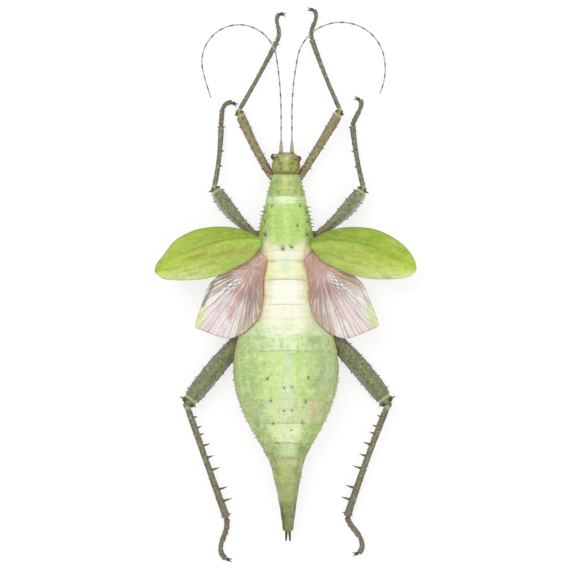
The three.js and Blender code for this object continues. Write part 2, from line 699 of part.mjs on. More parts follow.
function makeWing(wing, word, side) {
  const [ahead, behind] = [smoothRows(wing.ahead), smoothRows(wing.behind)];
  const { root, length, heading, slimmer } = wing[word];
  const axis = new THREE.Vector2(1, 0).rotateAround(new THREE.Vector2(), radians(heading));
  const geometry = new THREE.BoxGeometry(2, 2, 1, ...wing.grain, 1);
  const spots = geometry.getAttribute("position");
  for (let i = 0; i < spots.count; i++) {
    const along = (1 - Math.cos(((spots.getX(i) + 1) / 2) * Math.PI)) / 2;
    const across = spots.getY(i);
    const slimming = slimmer * Math.exp(-(((along - SLIMMING.at) / SLIMMING.spread) ** 2));
    const reach = across * (across > 0 ? ahead(along)[0] - slimming : behind(along)[0]);
    const x = root[0] + axis.x * along * length - axis.y * reach;
    const y = root[1] + axis.y * along * length + axis.x * reach;
    const droop = across ** 2 * (across > 0 ? wing.aheadDrop : wing.behindDrop);
    const arch = wing.midRise * Math.sin(Math.PI * along) - wing.tipDrop * along ** 2;
    const free = wing.rootZ + arch - droop * Math.sin(Math.PI * Math.sqrt(along));
    const middle = softMax(free, backHeight(x, y) + WING_OVER_BODY - WING_BLEND / 4);
    spots.setXYZ(i, x, y, middle + spots.getZ(i) * wing.thickness);
  }
  const right = biggest(solidOf(geometry).subtract(wholeTrunk));
  return side > 0 ? right : right.mirror([1, 0, 0]);
}

// ---- Materials and the finished group -----------------------------------------------------

function coat(color, roughness = 0.55) {
  return new THREE.MeshStandardMaterial({ color, roughness, metalness: 0 });
}
const MATERIALS = {
  thorax: coat(0xbfe082),
  metathorax: coat(0xf1f3cf),
  abdomen: coat(0xc4dc98),
  tail: coat(0xa3ae74),
  head: coat(0xa4ac64),
  eye: coat(0x4a2f1e, 0.25),
  mouth: coat(0x8b8450),
  feeler: coat(0x6f6c5e),
  leg: coat(0x84876a),
  shin: coat(0x86806a),
  claw: coat(0x3b322c, 0.4),
  forewing: coat(0xabc04f, 0.45),
  hindwing: coat(0xe2d0c6, 0.35),
};

const specimen = new THREE.Group();

function addPiece(name, solid, material) {
  const { vertProperties, triVerts, numProp } = solid.getMesh();
  const geometry = new THREE.BufferGeometry();
  const spots = new THREE.InterleavedBuffer(vertProperties, numProp);
  geometry.setAttribute("position", new THREE.InterleavedBufferAttribute(spots, 3, 0));
  geometry.setIndex(new THREE.BufferAttribute(triVerts, 1));
  const mesh = new THREE.Mesh(geometry, MATERIALS[material]);
  mesh.name = name;
  specimen.add(mesh);
}

function plateMaterial(name) {
  if (name === "pronotum" || name === "mesothorax") return "thorax";
  if (name === "metathorax" || name === "abdomen_2") return "metathorax";
  return name === "abdomen_9" ? "tail" : "abdomen";
}

const SIDES = [["left", -1], ["right", 1]];
const legs = LEGS.flatMap((leg) =>
  SIDES.map(([word, side]) => ({ name: `${leg.name}_${word}`, ...makeLeg(leg, word, side) })),
);
const { made: plates, tailFront } = makeTrunk(legs.flatMap((leg) => leg.cutters));

for (const [name, plate] of Object.entries(plates)) addPiece(name, plate, plateMaterial(name));
for (const [name, piece] of Object.entries(makeTail(tailFront)))
  addPiece(name, piece, name.startsWith("valve") ? "claw" : "tail");
addPiece("head", makeHead(SIDES.map(([word, side]) => feelerRoot(side, ANTENNA[word]))), "head");
addPiece("mouthparts", makeMouth(), "mouth");

for (const [word, side] of SIDES) {
  addPiece(`eye_${word}`, makeEye(word, side), "eye");
  const feeler = makeFeeler(side, ANTENNA[word]);
  feeler.forEach((piece, i) => addPiece(`antenna_${word}_${i + 1}`, piece, "feeler"));
  addPiece(`forewing_${word}`, makeWing(FOREWING, word, side), "forewing");
  addPiece(`hindwing_${word}`, makeWing(HINDWING, word, side), "hindwing");
}
const LIMB_MATERIALS = { coxa: "leg", femur: "leg", tibia: "shin", tarsus: "shin", claws: "claw" };
for (const { name, pieces } of legs)
  for (const [part, piece] of Object.entries(pieces))
    addPiece(`${part}_${name}`, piece, LIMB_MATERIALS[part]);

// The origin is at the middle of the whole spread, on the surface that it lies on.
const spread = new THREE.Box3().setFromObject(specimen);
const middle = spread.getCenter(new THREE.Vector3());
specimen.position.set(-middle.x, -middle.y, -spread.min.z);

export default specimen;
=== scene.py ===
"""A dried and spread jungle nymph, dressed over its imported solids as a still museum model."""

import math

import bmesh
import bpy
import numpy as np
from bpy.props import FloatProperty, FloatVectorProperty, PointerProperty
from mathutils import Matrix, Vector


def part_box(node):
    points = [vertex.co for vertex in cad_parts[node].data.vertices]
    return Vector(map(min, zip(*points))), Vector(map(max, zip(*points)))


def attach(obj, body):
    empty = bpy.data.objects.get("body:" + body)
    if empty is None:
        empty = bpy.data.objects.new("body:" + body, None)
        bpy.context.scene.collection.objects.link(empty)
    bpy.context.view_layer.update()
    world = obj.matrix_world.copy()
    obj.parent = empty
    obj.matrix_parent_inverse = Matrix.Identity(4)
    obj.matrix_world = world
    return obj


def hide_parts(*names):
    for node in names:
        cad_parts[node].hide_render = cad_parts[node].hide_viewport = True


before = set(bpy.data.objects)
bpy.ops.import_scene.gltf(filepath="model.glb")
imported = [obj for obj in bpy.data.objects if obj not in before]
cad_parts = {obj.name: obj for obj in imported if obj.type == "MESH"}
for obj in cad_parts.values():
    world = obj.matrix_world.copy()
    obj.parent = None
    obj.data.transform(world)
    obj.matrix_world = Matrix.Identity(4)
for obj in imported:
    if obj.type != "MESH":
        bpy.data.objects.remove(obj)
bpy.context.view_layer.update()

bl_info = {
    "name": "Jungle nymph specimen",
    "version": (1, 0, 0),
    "blender": (4, 5, 0),
    "location": "View3D > Sidebar > Specimen",
    "description": "Builds the finished surfaces of a spread stick insect around its solids",
    "category": "Add Mesh",
}

BODY = "root"
MM = 0.001
TAU = math.tau
UP = np.array([0.0, 0.0, 1.0])
SIDES = {"left": -1, "right": 1}

# ---- Sizes of the solids, in millimetres, which the pieces below follow -----------------------
# +Z is up, +Y points to the head, +X is the insect's own right side.

GAP = 0.3
HEAD_REAR = 43.8
TAIL_FRONT = -77.6
DORSAL_POWER = 2.3
VENTRAL_POWER = 1.7

# Stations along y: half width, height of the back, of the widest line, of the belly.
TRUNK = [
    [45, 4.9, 10.4, 6.0, 2.6],
    [40, 6.3, 11.4, 6.3, 2.0],
    [35, 7.7, 12.1, 6.6, 1.6],
    [31.5, 8.5, 12.3, 6.8, 1.3],
    [26, 9.7, 13.3, 7.0, 1.1],
    [18, 11.1, 14.2, 7.4, 0.8],
    [8, 11.8, 14.6, 7.6, 0.7],
    [-2, 12.8, 15.2, 7.9, 0.6],
    [-12, 15.2, 16.6, 8.4, 0.3],
    [-21, 18.9, 18.2, 8.9, -0.3],
    [-33, 21.0, 19.2, 9.2, -0.6],
    [-42, 20.0, 18.9, 9.2, -0.6],
    [-50, 17.4, 17.8, 9.0, -0.4],
    [-57, 14.2, 16.2, 8.6, -0.1],
    [-64, 10.2, 14.1, 8.0, 0.5],
    [-71, 6.9, 12.0, 7.3, 1.2],
    [-78, 5.2, 10.4, 6.7, 2.0],
    [-88, 3.4, 8.8, 6.0, 2.8],
    [-100, 1.8, 7.0, 5.2, 3.8],
]
TAIL_LEAN = {"from": -52, "to": -96, "shift": 0.8}
HEAD = [
    [43.4, 4.6, 10.2, 6.2, 2.8],
    [45.0, 5.4, 11.1, 6.2, 1.8],
    [47.2, 5.6, 11.0, 6.0, 1.3],
    [49.6, 5.0, 10.2, 5.8, 1.4],
    [51.6, 4.1, 9.1, 5.6, 1.9],
    [52.7, 3.2, 7.9, 5.2, 2.8],
]
HEAD_FRONT = 52.5
CROWN = {"y": 45.6, "height": 2.0, "radius": 2.3, "lean": 0.35}
EYE = {"left": [-4.9, 50.7, 7.1], "right": [4.9, 49.9, 7.1], "radius": 1.25}
# Each eye's painted highlight, a pale place laid on one side of it: its direction, and how tight it is.
EYE_PAINTED_GLEAM = {"left": [0.36, 0.36, 0.86, 0.86], "right": [-0.5, -0.35, 0.79, 0.5]}
MOUTH = {"size": [2.7, 1.6, 1.9], "centre": [0, 50.8, 2.3]}
PALP = {"radius": 0.42, "points": [[1.7, 50.7, 2.0], [2.5, 52.0, 1.1], [1.5, 52.2, 0.8]]}
TAIL = {"split": 5.4, "upper": -98.8, "lower": -96.6}
VALVE = {"root": 2.6, "length": 6.4, "radius": 0.75, "narrow": 0.78, "apart": 0.5, "spread": 0.3, "drop": 0.4}

# A feeler's radii and heights, the places and depths of the waists at its first two joints, and
# the length of each joint of its thread.
FEELER = {"scape": 4.6, "scape_radius": 0.72, "radius": 0.27, "root_z": 6.9, "tip_z": 4.6,
          "waists": [[3.1, 0.16], [5.0, 0.1]], "joint": 1.47}
FEELER_BENDS = {
    "left": {"x": 1.95, "bends": [[0, 0], [14, 0], [38, 9], [54, 69], [70, 131], [86, 193], [97.5, 200]]},
    "right": {"x": 2.35, "bends": [[0, 0], [14, 0], [38, 11], [54, 65], [70, 115], [86, 169], [101, 205]]},
}

LEGS = {
    "front": {
        "socket": [3.5, 39.6, 3.8],
        "hip": [6.3, 43.9, 4.2],
        "coxa": 1.5,
        "femur": [1.8, 1.7],
        "femur_shape": [[0, 0.84], [0.5, 0.87], [0.85, 1], [1, 0.82]],
        "spines": {1: [0.14, 0.45, 0.78], -1: [0.3, 0.72, 0.92]},
        "spine_length": 1.0,
        "knee_tooth": 0.6,
        "pale_edge": 0,
        "tibia": 0.98,
        "spur": 0.5,
        "teeth": [],
        "foot": 0.86,
        "ankle_z": 1.8,
        "left": {"knee": [18.9, 68.9, 6.4], "bow": 0.55, "ankle": [3.6, 96.9], "shin_bow": -0.3,
                 "foot_length": 11.7,
                 "turns": [112, 104, 86, 74, 80, 104, 146], "claws": 192, "pads": -1},
        "right": {"knee": [21.7, 69.1, 6.4], "bow": 0.2, "ankle": [10.3, 97.8], "shin_bow": -0.45,
                  "foot_length": 12.3,
                  "turns": [98, 90, 74, 65, 76, 98, 136], "claws": 176, "pads": -1},
    },
    "middle": {
        "socket": [7.2, 16.4, 3.4],
        "hip": [12.5, 19.9, 4.3],
        "coxa": 2.1,
        "femur": [2.8, 2.6],
        "femur_shape": [[0, 0.52], [0.2, 0.6], [0.47, 0.86], [0.68, 1], [0.87, 0.88], [1, 0.56]],
        "spines": {1: [0.5, 0.66, 0.8], -1: [0.26, 0.5, 0.7, 0.88]},
        "spine_length": 1.1,
        "knee_tooth": 1.1,
        "pale_edge": 1,
        "tibia": 1.12,
        "spur": 0.6,
        "teeth": [[0.38, 1], [0.61, 1]],
        "foot": 0.98,
        "ankle_z": 1.8,
        "left": {"knee": [28.7, 38.6, 6], "bow": 1.3, "ankle": [25.9, 63.4], "shin_bow": -0.65,
                 "foot_length": 11.6,
                 "turns": [92, 95, 94, 108, 150, 186], "claws": 212, "pads": 1},
        "right": {"knee": [31, 38.3, 6], "bow": 1.4, "ankle": [26.6, 63.3], "shin_bow": -0.6,
                  "foot_length": 11.2,
                  "turns": [72, 66, 62, 65, 80, 130], "claws": 160, "pads": -1},
    },
    "hind": {
        "socket": [8.4, -5.6, 3.6],
        "hip": [12.2, -15.7, 4.1],
        "coxa": 2.3,
        "femur": [3.7, 3],
        "femur_shape": [[0, 0.62], [0.2, 0.8], [0.42, 0.93], [0.6, 0.98], [0.87, 0.89], [1, 0.62]],
        "spines": {1: [0.36, 0.5, 0.62, 0.74, 0.86], -1: [0.42, 0.56, 0.7, 0.84]},
        "spine_length": 1.2,
        "knee_tooth": 1.7,
        "pale_edge": -0.25,
        "tibia": 1.46,
        "spur": 1.0,
        "teeth": [[0.14, 1.4], [0.23, 1.8], [0.29, 1.8], [0.38, 2.8], [0.485, 2.6], [0.59, 3.3],
                  [0.76, 3.5], [0.86, 3.6]],
        "foot": 1.12,
        "ankle_z": 1.9,
        "left": {"knee": [39.6, -48.2, 5.8], "bow": 0.6, "ankle": [23.7, -93.5], "shin_bow": 0.1,
                 "foot_length": 17.4,
                 "turns": [-96, -86, -70, -68, -82, -112, -144], "claws": -166, "pads": -1},
        "right": {"knee": [40.8, -48.0, 5.8], "bow": 1.3, "ankle": [24.4, -92.9], "shin_bow": -0.45,
                  "foot_length": 16.7,
                  "turns": [-74, -60, -50, -55, -70, -98, -142], "claws": -168, "pads": -1},
    },
}
FEMUR_THORNS = 26  # small thorns along each edge of a femur
TIBIA_THORNS = 26  # small thorns along both edges of a tibia together
TIBIA_SHAPE = [[0, 0.86], [0.1, 0.92], [0.5, 0.86], [0.85, 1], [1, 1.08]]
COXA_SHAPE = [[0, 0.95], [0.5, 1], [1, 0.85]]
KNEE_TOOTH = 0.97  # share of the femur at which its big tooth stands
SPUR = 0.97  # share of the tibia at which its spurs stand
CLAW = {"length": 1.9, "radius": 0.3, "spread": 24, "pad": 0.72, "arch": 0.45}
TOES = 4
TOES_END = 0.55
FOOT_STEPS = 14
FOOT_FALL = 0.6  # share of its height that the foot keeps at each of those steps
FOOT_REST = 0.86  # height of the foot's middle line where it lies, as a share of its radius
PAD_TURN = math.pi / 6  # how far below the foot's side its pads sit

FOREWING = {
    "left": {"root": [10.2, 17.2], "length": 43.8, "heading": -16.4, "slimmer": 1.4},
    "right": {"root": [10.2, 16.5], "length": 43.0, "heading": -14.6, "slimmer": 0},
    "ahead": [[0, 1.6], [0.12, 6.1], [0.25, 9], [0.4, 10.8], [0.55, 11.4],
              [0.7, 10.3], [0.82, 8.4], [0.91, 5.8], [0.97, 3], [1, 0.5]],
    "behind": [[0, 1.8], [0.13, 5.8], [0.28, 7.4], [0.45, 8.5], [0.6, 8.2],
              [0.74, 6.9], [0.89, 4.8], [0.96, 3], [1, 0.5]],
    "root_z": 13.7,
    "mid_rise": 1.2,
    "tip_drop": 1.2,
    "ahead_drop": 2.0,
    "behind_drop": 0.6,
}
HINDWING = {
    "left": {"root": [8.3, 10.6], "length": 39.3, "heading": -45.4, "slimmer": 0},
    "right": {"root": [8.0, 10.0], "length": 39.3, "heading": -43.2, "slimmer": 0},
    "ahead": [[0, 4.2], [0.2, 6.6], [0.39, 7.8], [0.59, 8.2], [0.77, 5.2], [0.915, 2.5], [1, 0.5]],
    "behind": [[0, 1.0], [0.19, 6.3], [0.33, 11.5], [0.47, 14.9],
              [0.62, 15.3], [0.75, 14.4], [0.87, 11.1], [1, 0.5]],
    "root_z": 11.7,
    "mid_rise": 0,
    "tip_drop": 1.2,
    "ahead_drop": 0.5,
    "behind_drop": 0.2,
}
# Where along a wing its front edge is slimmer, and over what share of its length.
SLIMMING = {"at": 0.88, "spread": 0.09}
WING_OVER_BODY = 1.15
WING_BLEND = 1.2

# ---- Finer relief that only the finished surfaces have ----------------------------------------

# Plates of the trunk: the solid's name, y of its front joint, how far its rear rim stands over
# the next plate, and how dark the line along that rim is.
PLATES = [
    ["pronotum", 43.8, 0.12, 0.2],
    ["mesothorax", 35.2, 0.22, 0.0],
    ["metathorax", 13.6, 0.2, 0.45],
    ["abdomen_2", -8.2, 0.16, 0.1],
    ["abdomen_3", -17.7, 0.2, 0.55],
    ["abdomen_4", -26.6, 0.14, 0.0],
    ["abdomen_5", -36.4, 0.14, 0.12],
    ["abdomen_6", -45.9, 0.2, 0.75],
    ["abdomen_7", -55.3, 0.2, 0.7],
    ["abdomen_8", -63.2, 0.24, 0.35],
    ["abdomen_9", -69.4, 0.16, 0.3],
]
# The slots of plates whose finish isn't the abdomen's.
PLATE_SLOTS = {"pronotum": "thorax_shell", "mesothorax": "thorax_shell", "metathorax": "pale_shell",
               "abdomen_2": "pale_shell", "abdomen_9": "tail_shell"}
BARE_FRONT = {"mesothorax": 31.9}  # y where this plate starts, behind a strip of soft membrane
# Cross grooves within a plate: y at the middle, depth, how dark the line in it is.
GROOVES = [
    [42.9, 0.1, 0.15],
    [38.0, 0.16, 0.0],
    [13.2, 0.1, 0.15],
    [9.4, 0.14, 0.3],
    [1.9, 0.2, 0.8],
    [-13.7, 0.08, 0.0],
    [-20.3, 0.1, 0.15],
]
FOLD_ARCH = 0.9  # how far a fold's ends lie behind its middle
PLATE_STEP = 0.2  # the usual step between plates, which the plates' own steps are measured against
# Places of the rings across a plate's edge, where the skin turns most.
EDGE_RINGS = np.array([-0.5, -0.3, -0.15, 0, 0.1, 0.2, 0.35, 0.6])
# Swellings of the trunk's back: x, y, half width, half length, height.
SWELLINGS = [
    [0, 41.3, 0.6, 2.4, 0.22],
    [0, 38.8, 2.8, 0.4, 0.2],
    [-2.9, 40.6, 1.5, 1.7, 0.25],
    [2.9, 40.6, 1.5, 1.7, 0.25],
    [0, 33.4, 6, 0.5, 0.12],
    [0, 24, 5.2, 7.5, 0.25],
    [0, 15.8, 3.6, 1.6, 0.25],
    [-6.9, 15.6, 1.0, 1.2, 0.3],
    [6.9, 15.6, 1.0, 1.2, 0.3],
    [0, 6.0, 3.6, 2.6, 0.2],
    [0, -3.4, 5.5, 3.2, 0.14],
]
# Colour marks of the trunk's back, in the order that they're laid on: x, y, half width, half
# length, strength.
MARKS = {
    "cream": [
        [-7.2, 15.6, 2.6, 2.4, 0.9], [6.6, 15.4, 2.2, 2.2, 0.85], [-4.0, 14.3, 1.6, 1.5, 1],
        [4.4, 14.3, 1.6, 1.4, 0.9], [8.4, -53.6, 1.6, 2.2, 0.5], [0.4, -40.6, 2.2, 1.2, 0.6],
        [5.2, -59.5, 1.6, 1.6, 0.5], [1.0, -58.6, 4.0, 2.2, 0.25], [10.6, -48.6, 2.6, 2.8, 0.22],
    ],
    "light": [
        [-0.4, 41.6, 0.7, 1.9, 0.5], [0.1, 38.2, 2.6, 0.35, 0.9], [1.6, 42.2, 1.6, 1.2, 0.3],
        [0.3, 15.6, 2.4, 1.6, 0.35], [-5.4, 43.0, 1.8, 1.3, 0.5], [5.0, 43.2, 1.5, 1.0, 0.35],
        [-4.4, -85, 2.2, 4.5, 0.3], [0.6, -38.0, 2.2, 1.6, 0.55], [0.8, -42.6, 2.0, 1.6, 0.45],
        # The first two marks below lay painted highlight over the bare membrane's own pale colour.
        [0.5, 33.9, 5.6, 0.5, 1], [0.5, 32.5, 6.0, 0.35, 0.8], [0.2, 24, 1.3, 9, 0.25],
        [-5.0, -36.6, 2.4, 0.3, 0.6], [1.4, -57.6, 4.6, 2.2, 0.35], [-4.2, -49.4, 1.8, 1.6, 0.4],
        [1.5, -71.2, 2.6, 0.8, 0.4],
    ],
    "mint": [
        [-0.2, 9.9, 2.6, 1.4, 0.4], [0, 6.6, 1.7, 1.9, 0.6], [-5.4, -17.4, 2.6, 1.8, 0.35],
        [1.0, -16.8, 2.4, 1.4, 0.3], [0.6, -45.0, 3.4, 1.5, 0.6], [-9.4, -52.4, 1.8, 2.4, 0.4],
        [1.4, -66.4, 2.6, 1.8, 0.5], [0.9, -31, 1.2, 4.5, 0.4], [-6.6, 33.4, 1.6, 1.2, 0.6],
    ],
    "green": [
        [-3.0, 39.2, 1.0, 2.0, 0.6], [-5.6, 38.2, 1.0, 2.4, 0.5], [-3.6, 24.5, 1.6, 5.5, 0.35],
        [3.8, 24.5, 1.6, 5.5, 0.35], [-7.2, -23.5, 2.8, 1.6, 0.35], [-11.0, -36, 3.2, 5, 0.2],
        [6.4, -43.4, 2.0, 1.5, 0.9], [5.6, -29, 1.6, 5.5, 0.45], [9.2, -57.3, 1.9, 1.4, 0.6],
    ],
    "olive": [
        [-2.2, 40.4, 0.7, 0.9, 0.6], [4.8, 42.8, 1.3, 1.6, 0.35], [1.7, 39.9, 0.7, 0.9, 0.7],
        [0.6, 36.3, 3.4, 0.9, 0.35], [-6.0, 9.1, 1.9, 0.7, 0.4], [6.0, 9.1, 1.9, 0.7, 0.4],
        [10.4, -22.2, 2.4, 1.5, 0.7], [4.4, -80, 1.6, 5, 0.6], [1.6, -94.5, 1.4, 3, 0.4],
        [7.4, -55.8, 1.4, 1.6, 0.4], [0.8, -68.9, 5.0, 0.8, 0.45], [1.4, -76.8, 4.6, 0.9, 0.45],
        [5.4, -66.0, 1.4, 1.8, 0.65], [-9.2, 28, 0.9, 2.8, 0.5], [9.6, 26, 0.9, 3.6, 0.45],
        [11.9, -38.4, 2.0, 2.4, 0.55], [14.4, -33, 1.6, 5, 0.35], [-14.6, -47.5, 1.2, 4.6, 0.4],
        [-11.0, -56.5, 1.0, 4.0, 0.5], [-3.8, -64.5, 1.2, 2.6, 0.4], [5.6, -64.5, 1.4, 2.6, 0.4],
        [2.0, -73.4, 1.0, 2.4, 0.4], [-2.6, -74, 0.8, 2.6, 0.4], [-1.4, 39.0, 0.35, 0.35, 0.7],
    ],
    "rust": [
        [-1.2, 39.2, 0.3, 0.3, 0.8], [1.3, 39.2, 0.3, 0.3, 0.8], [-9.0, 28.3, 0.8, 1.4, 0.55],
        [-9.2, 11.6, 0.9, 1.6, 0.4], [7.6, 12.4, 0.7, 2.4, 0.55], [-6.4, 2.6, 1.6, 0.6, 0.3],
        [6.4, 2.6, 1.6, 0.6, 0.3], [11.2, -49.6, 3.1, 3.6, 0.5], [11.0, -52.0, 1.6, 2.4, 0.25],
        [0.9, -40.6, 1.0, 0.5, 0.35], [1.2, -69.5, 3.2, 0.4, 0.5], [-13.6, -46.6, 0.8, 1.2, 0.5],
        [1.1, -77.4, 2.6, 0.45, 0.35],
    ],
    "lilac": [
        [-3.1, 24.1, 0.7, 0.5, 0.5], [0.6, 36.2, 2.2, 0.6, 0.3], [7.4, 9.0, 0.7, 3.4, 0.5],
        [16.0, -36.0, 1.6, 7, 0.25], [1.0, -13.9, 5, 0.6, 0.25],
    ],
    "dark": [
        [-3.4, 41.5, 0.28, 0.5, 0.7], [-2.4, 42.8, 0.25, 0.4, 0.4], [-3.2, 36.5, 0.45, 0.8, 0.9],
        [3.8, 36.8, 0.35, 0.5, 0.8], [-3.6, 40.7, 0.3, 0.5, 0.5], [0.4, 37.75, 2.4, 0.16, 0.6],
        [-6.6, 35.6, 0.3, 0.3, 0.7], [6.7, 35.6, 0.3, 0.3, 0.7], [-7.5, -10.6, 0.8, 0.3, 0.3],
        [11.2, -44.1, 0.35, 0.5, 0.6], [-2.4, -63.2, 0.9, 0.25, 0.5], [-1.7, -95.6, 0.5, 2.4, 0.55],
        [0.7, -96.6, 0.4, 1.8, 0.45],
    ],
}
# Spines on the back: x on each side, or on one side where it has a sign, y and length.
BACK_SPINES = [
    ["both", 5.6, 31.2, 0.8],
    ["both", 8.2, 28.9, 0.8],
    ["both", 8.5, 25.0, 0.9],
    ["both", 8.3, 20.0, 1.3],
    ["right", 4.4, 23.4, 1.0],
    ["left", 1.2, 14.3, 1.7],
    ["right", 1.8, 15.1, 1.1],
    ["right", 2.6, 14.6, 0.8],
    ["left", 7.3, -37.3, 1.3],
    ["right", 8.7, -37.0, 1.1],
    ["left", 0.7, -40.9, 1.1],
    ["right", 2.4, -40.7, 0.9],
    ["left", 6.0, -46.1, 1.1],
    ["right", 7.7, -46.4, 1.3],
    ["left", 0.6, -50.1, 0.9],
    ["right", 2.3, -49.9, 0.7],
    ["left", 5.0, -55.2, 1.0],
    ["right", 6.4, -55.3, 1.1],
    ["right", 2.1, -58.0, 0.6],
    ["left", 4.0, -63.0, 0.6],
]
# Spines along the trunk's side edges: from y, to y, how many, how long.
MARGIN_SPINES = [
    [42.5, 36.5, 4, 0.9],
    [34.6, 17.4, 11, 1.5],
    [11.0, -4.0, 4, 0.6],
    [-30.0, -36.0, 5, 0.5],
    [-37.0, -45.6, 9, 0.85],
    [-46.5, -55.0, 9, 0.95],
    [-56.0, -63.0, 7, 0.8],
    [-64.0, -69.0, 4, 0.5],
]
# Bumps and pits on the top of the head: x on each side, y, radius, height.
HEAD_BUMPS = [
    [3.3, 50.5, 0.9, 0.35],
    [1.1, 50.2, 1.1, 0.22],
    [2.4, 48.1, 0.5, -0.4],
    [1.2, 47.6, 0.8, 0.2],
    [3.9, 46.2, 0.7, 0.3],
    [0.0, 44.6, 0.8, -0.2],
    [3.5, 48.6, 0.8, 0.18],
    [2.3, 51.6, 0.8, 0.2],
]
# Colour marks of the head: x, y, half width, half length, strength.
HEAD_MARKS = {
    "light": [
        [0.2, 49.9, 0.9, 1.2, 1], [-1.9, 50.0, 0.6, 0.8, 0.5], [0.2, 46.9, 1.4, 1.6, 0.45],
        [1.5, 51.0, 0.8, 0.4, 0.6], [-4.2, 47.2, 0.9, 1.6, 0.35],
    ],
    "green": [
        [3.0, 46.9, 1.0, 1.1, 1], [-3.0, 46.2, 1.2, 1.0, 0.7], [2.2, 48.9, 0.9, 0.5, 0.6],
        [-1.6, 47.2, 0.6, 0.6, 0.6],
    ],
    "rust": [
        [4.0, 49.5, 1.1, 0.7, 1], [4.9, 47.6, 0.55, 1.9, 1], [0.4, 44.6, 1.6, 0.5, 0.8],
        [-3.4, 44.4, 2.0, 0.5, 0.6], [3.6, 44.4, 1.6, 0.5, 0.6], [-3.0, 49.2, 0.6, 0.9, 0.7],
        [1.4, 47.8, 0.5, 0.6, 0.7],
    ],
    # The grey band across the brow is a painted highlight on its curve.
    "grey": [
        [0.3, 51.8, 2.2, 0.32, 1],
    ],
    "line": [
        [-5.3, 47.6, 0.45, 2.0, 0.3], [-2.6, 49.4, 0.3, 1.6, 0.35], [2.6, 48.0, 0.6, 0.35, 0.9],
        [-2.3, 48.0, 0.55, 0.45, 0.9], [-3.5, 50.5, 0.6, 0.45, 1], [3.4, 49.6, 0.6, 0.25, 0.6],
        [2.4, 50.4, 0.35, 0.35, 0.6], [-2.6, 52.0, 0.7, 0.3, 0.6], [3.0, 52.0, 0.7, 0.3, 0.6],
        [-3.9, 46.3, 0.35, 0.3, 0.6], [4.2, 45.6, 0.35, 0.3, 0.7], [0, 43.8, 4.6, 0.2, 0.5],
    ],
}
# Thorns on each side of the head: place, lean sideways, length.
THORNS = [
    [1.9, 46.2, 11.0, 0.5, 1.1],
    [3.9, 45.4, 9.6, 1.2, 0.9],
    [5.2, 47.6, 5.8, 4, 0.7],
    [2.6, 44.7, 10.2, 0.5, 0.6],
    [4.9, 45.6, 8.2, 2.5, 0.6],
]
# The forewing's front field, its own deeper green darkened further by painted shade of its downward slope:
# how far behind the stem vein it starts, and its strength.
FRONT_FIELD = {"left": [-0.5, 0.8], "right": [-3.0, 1]}
# The hind wing's fan: where its ribs meet, their first and last bearing in degrees from +X, how
# many there are, how many degrees each strays from even spacing, the distance between cross-veins,
# and the share of it by which they shift from one rib to the next.
FAN = {"centre": [13.4, 6.8], "first": -12, "last": -116, "ribs": 22, "stray": 1.3,
       "cross_veins": 1.6, "stagger": 0.618}
# Places on the hind wing, as a line from, to, and a width: the white patch behind the front
# edge, a painted highlight, the rosy streak, the yellow green corner and the dark part of the outer edge.
PAINTED_GLINT = {"left": [[19.2, 1.2], [23.6, -2.2], 1.5], "right": [[17.6, 2.8], [22.4, -1.4], 1.4]}
ROSY_STREAK = [[16.2, -0.6], [22.6, -13.5], 0.85]
CORNER = [[33.0, -9.5], [35.0, -16.5], 1.5]
DARK_EDGE = [[29.2, -0.5], [33.0, -8.5], 0.6]


# ---- Small tools ------------------------------------------------------------------------------

def linear(code):
    """A colour written as sRGB hex, as the linear red, green, blue and alpha that nodes take."""
    shares = [int(code[i:i + 2], 16) / 255 for i in (0, 2, 4)]
    return [c / 12.92 if c <= 0.04045 else ((c + 0.055) / 1.055) ** 2.4 for c in shares] + [1]


def unit(vectors):
    """The vectors, each made one long."""
    return vectors / np.linalg.norm(vectors, axis=-1, keepdims=True)


def mix(a, b, share):
    return a + (b - a) * share


def smoothstep(value, low, high):
    """0 up to low and 1 from high on, with a soft rise between them."""
    t = np.clip((value - low) / (high - low), 0, 1)
    return t * t * (3 - 2 * t)


def span(value, low, full, last, high):
    """1 from full to last, with a soft rise to it from low and a soft fall to high."""
    return smoothstep(value, low, full) * (1 - smoothstep(value, last, high))


def circle(count):
    """Evenly spaced angles, once round."""
    return np.linspace(0, TAU, count, endpoint=False)


def hump(value, middle, width):
    """1 at the middle, falling away on both sides over about a width."""
    return np.exp(-(((value - middle) / width) ** 2))


def signed_power(value, power):
    return np.sign(value) * np.abs(value) ** power


def soft_max(a, b, blend):
    """The larger of two values, rounded off where they cross."""
    return (a + b + np.hypot(a - b, blend)) / 2


def smooth_rows(rows):
    """A smooth line through rows of [place, value, value...], as a function of places."""
    table = np.array(sorted(rows), float)
    places, values = table[:, 0], table[:, 1:]
    before = np.maximum(np.arange(len(table)) - 1, 0)
    after = np.minimum(np.arange(len(table)) + 1, len(table) - 1)
    slopes = (values[after] - values[before]) / (places[after] - places[before])[:, None]

    def at(place):
        held = np.clip(place, places[0], places[-1])
        b = np.clip(np.searchsorted(places, held), 1, len(places) - 1)
        a = b - 1
        width = (places[b] - places[a])[..., None]
        t = (held - places[a])[..., None] / width
        bend = width * t * (1 - t) * ((1 - t) * slopes[a] - t * slopes[b])
        return mix(values[a], values[b], t * t * (3 - 2 * t)) + bend

    return at


def lumps(points, size, seed, waves=24):
    """Smooth random lumps of a size in millimetres, from about -1 to 1, at each point."""
    draw = np.random.default_rng(seed)
    ways = unit(draw.normal(size=(waves, 3))) * TAU / size * draw.uniform(0.6, 1.4, (waves, 1))
    return np.sin(points @ ways.T + draw.uniform(0, TAU, waves)).sum(-1) / math.sqrt(waves)


def tube(centres, widths, heights, around=24, relief=0, up=UP):
    """Rings of points round a line. Relief lifts the skin, for each ring and place in it."""
    angle = circle(around)
    ahead = unit(np.gradient(centres, axis=0))
    side = unit(np.cross(ahead, up))
    top = np.cross(side, ahead)
    across = (np.asarray(widths)[:, None] + relief) * np.cos(angle)
    high = (np.asarray(heights)[:, None] + relief) * np.sin(angle)
    return centres[:, None] + side[:, None] * across[..., None] + top[:, None] * high[..., None]


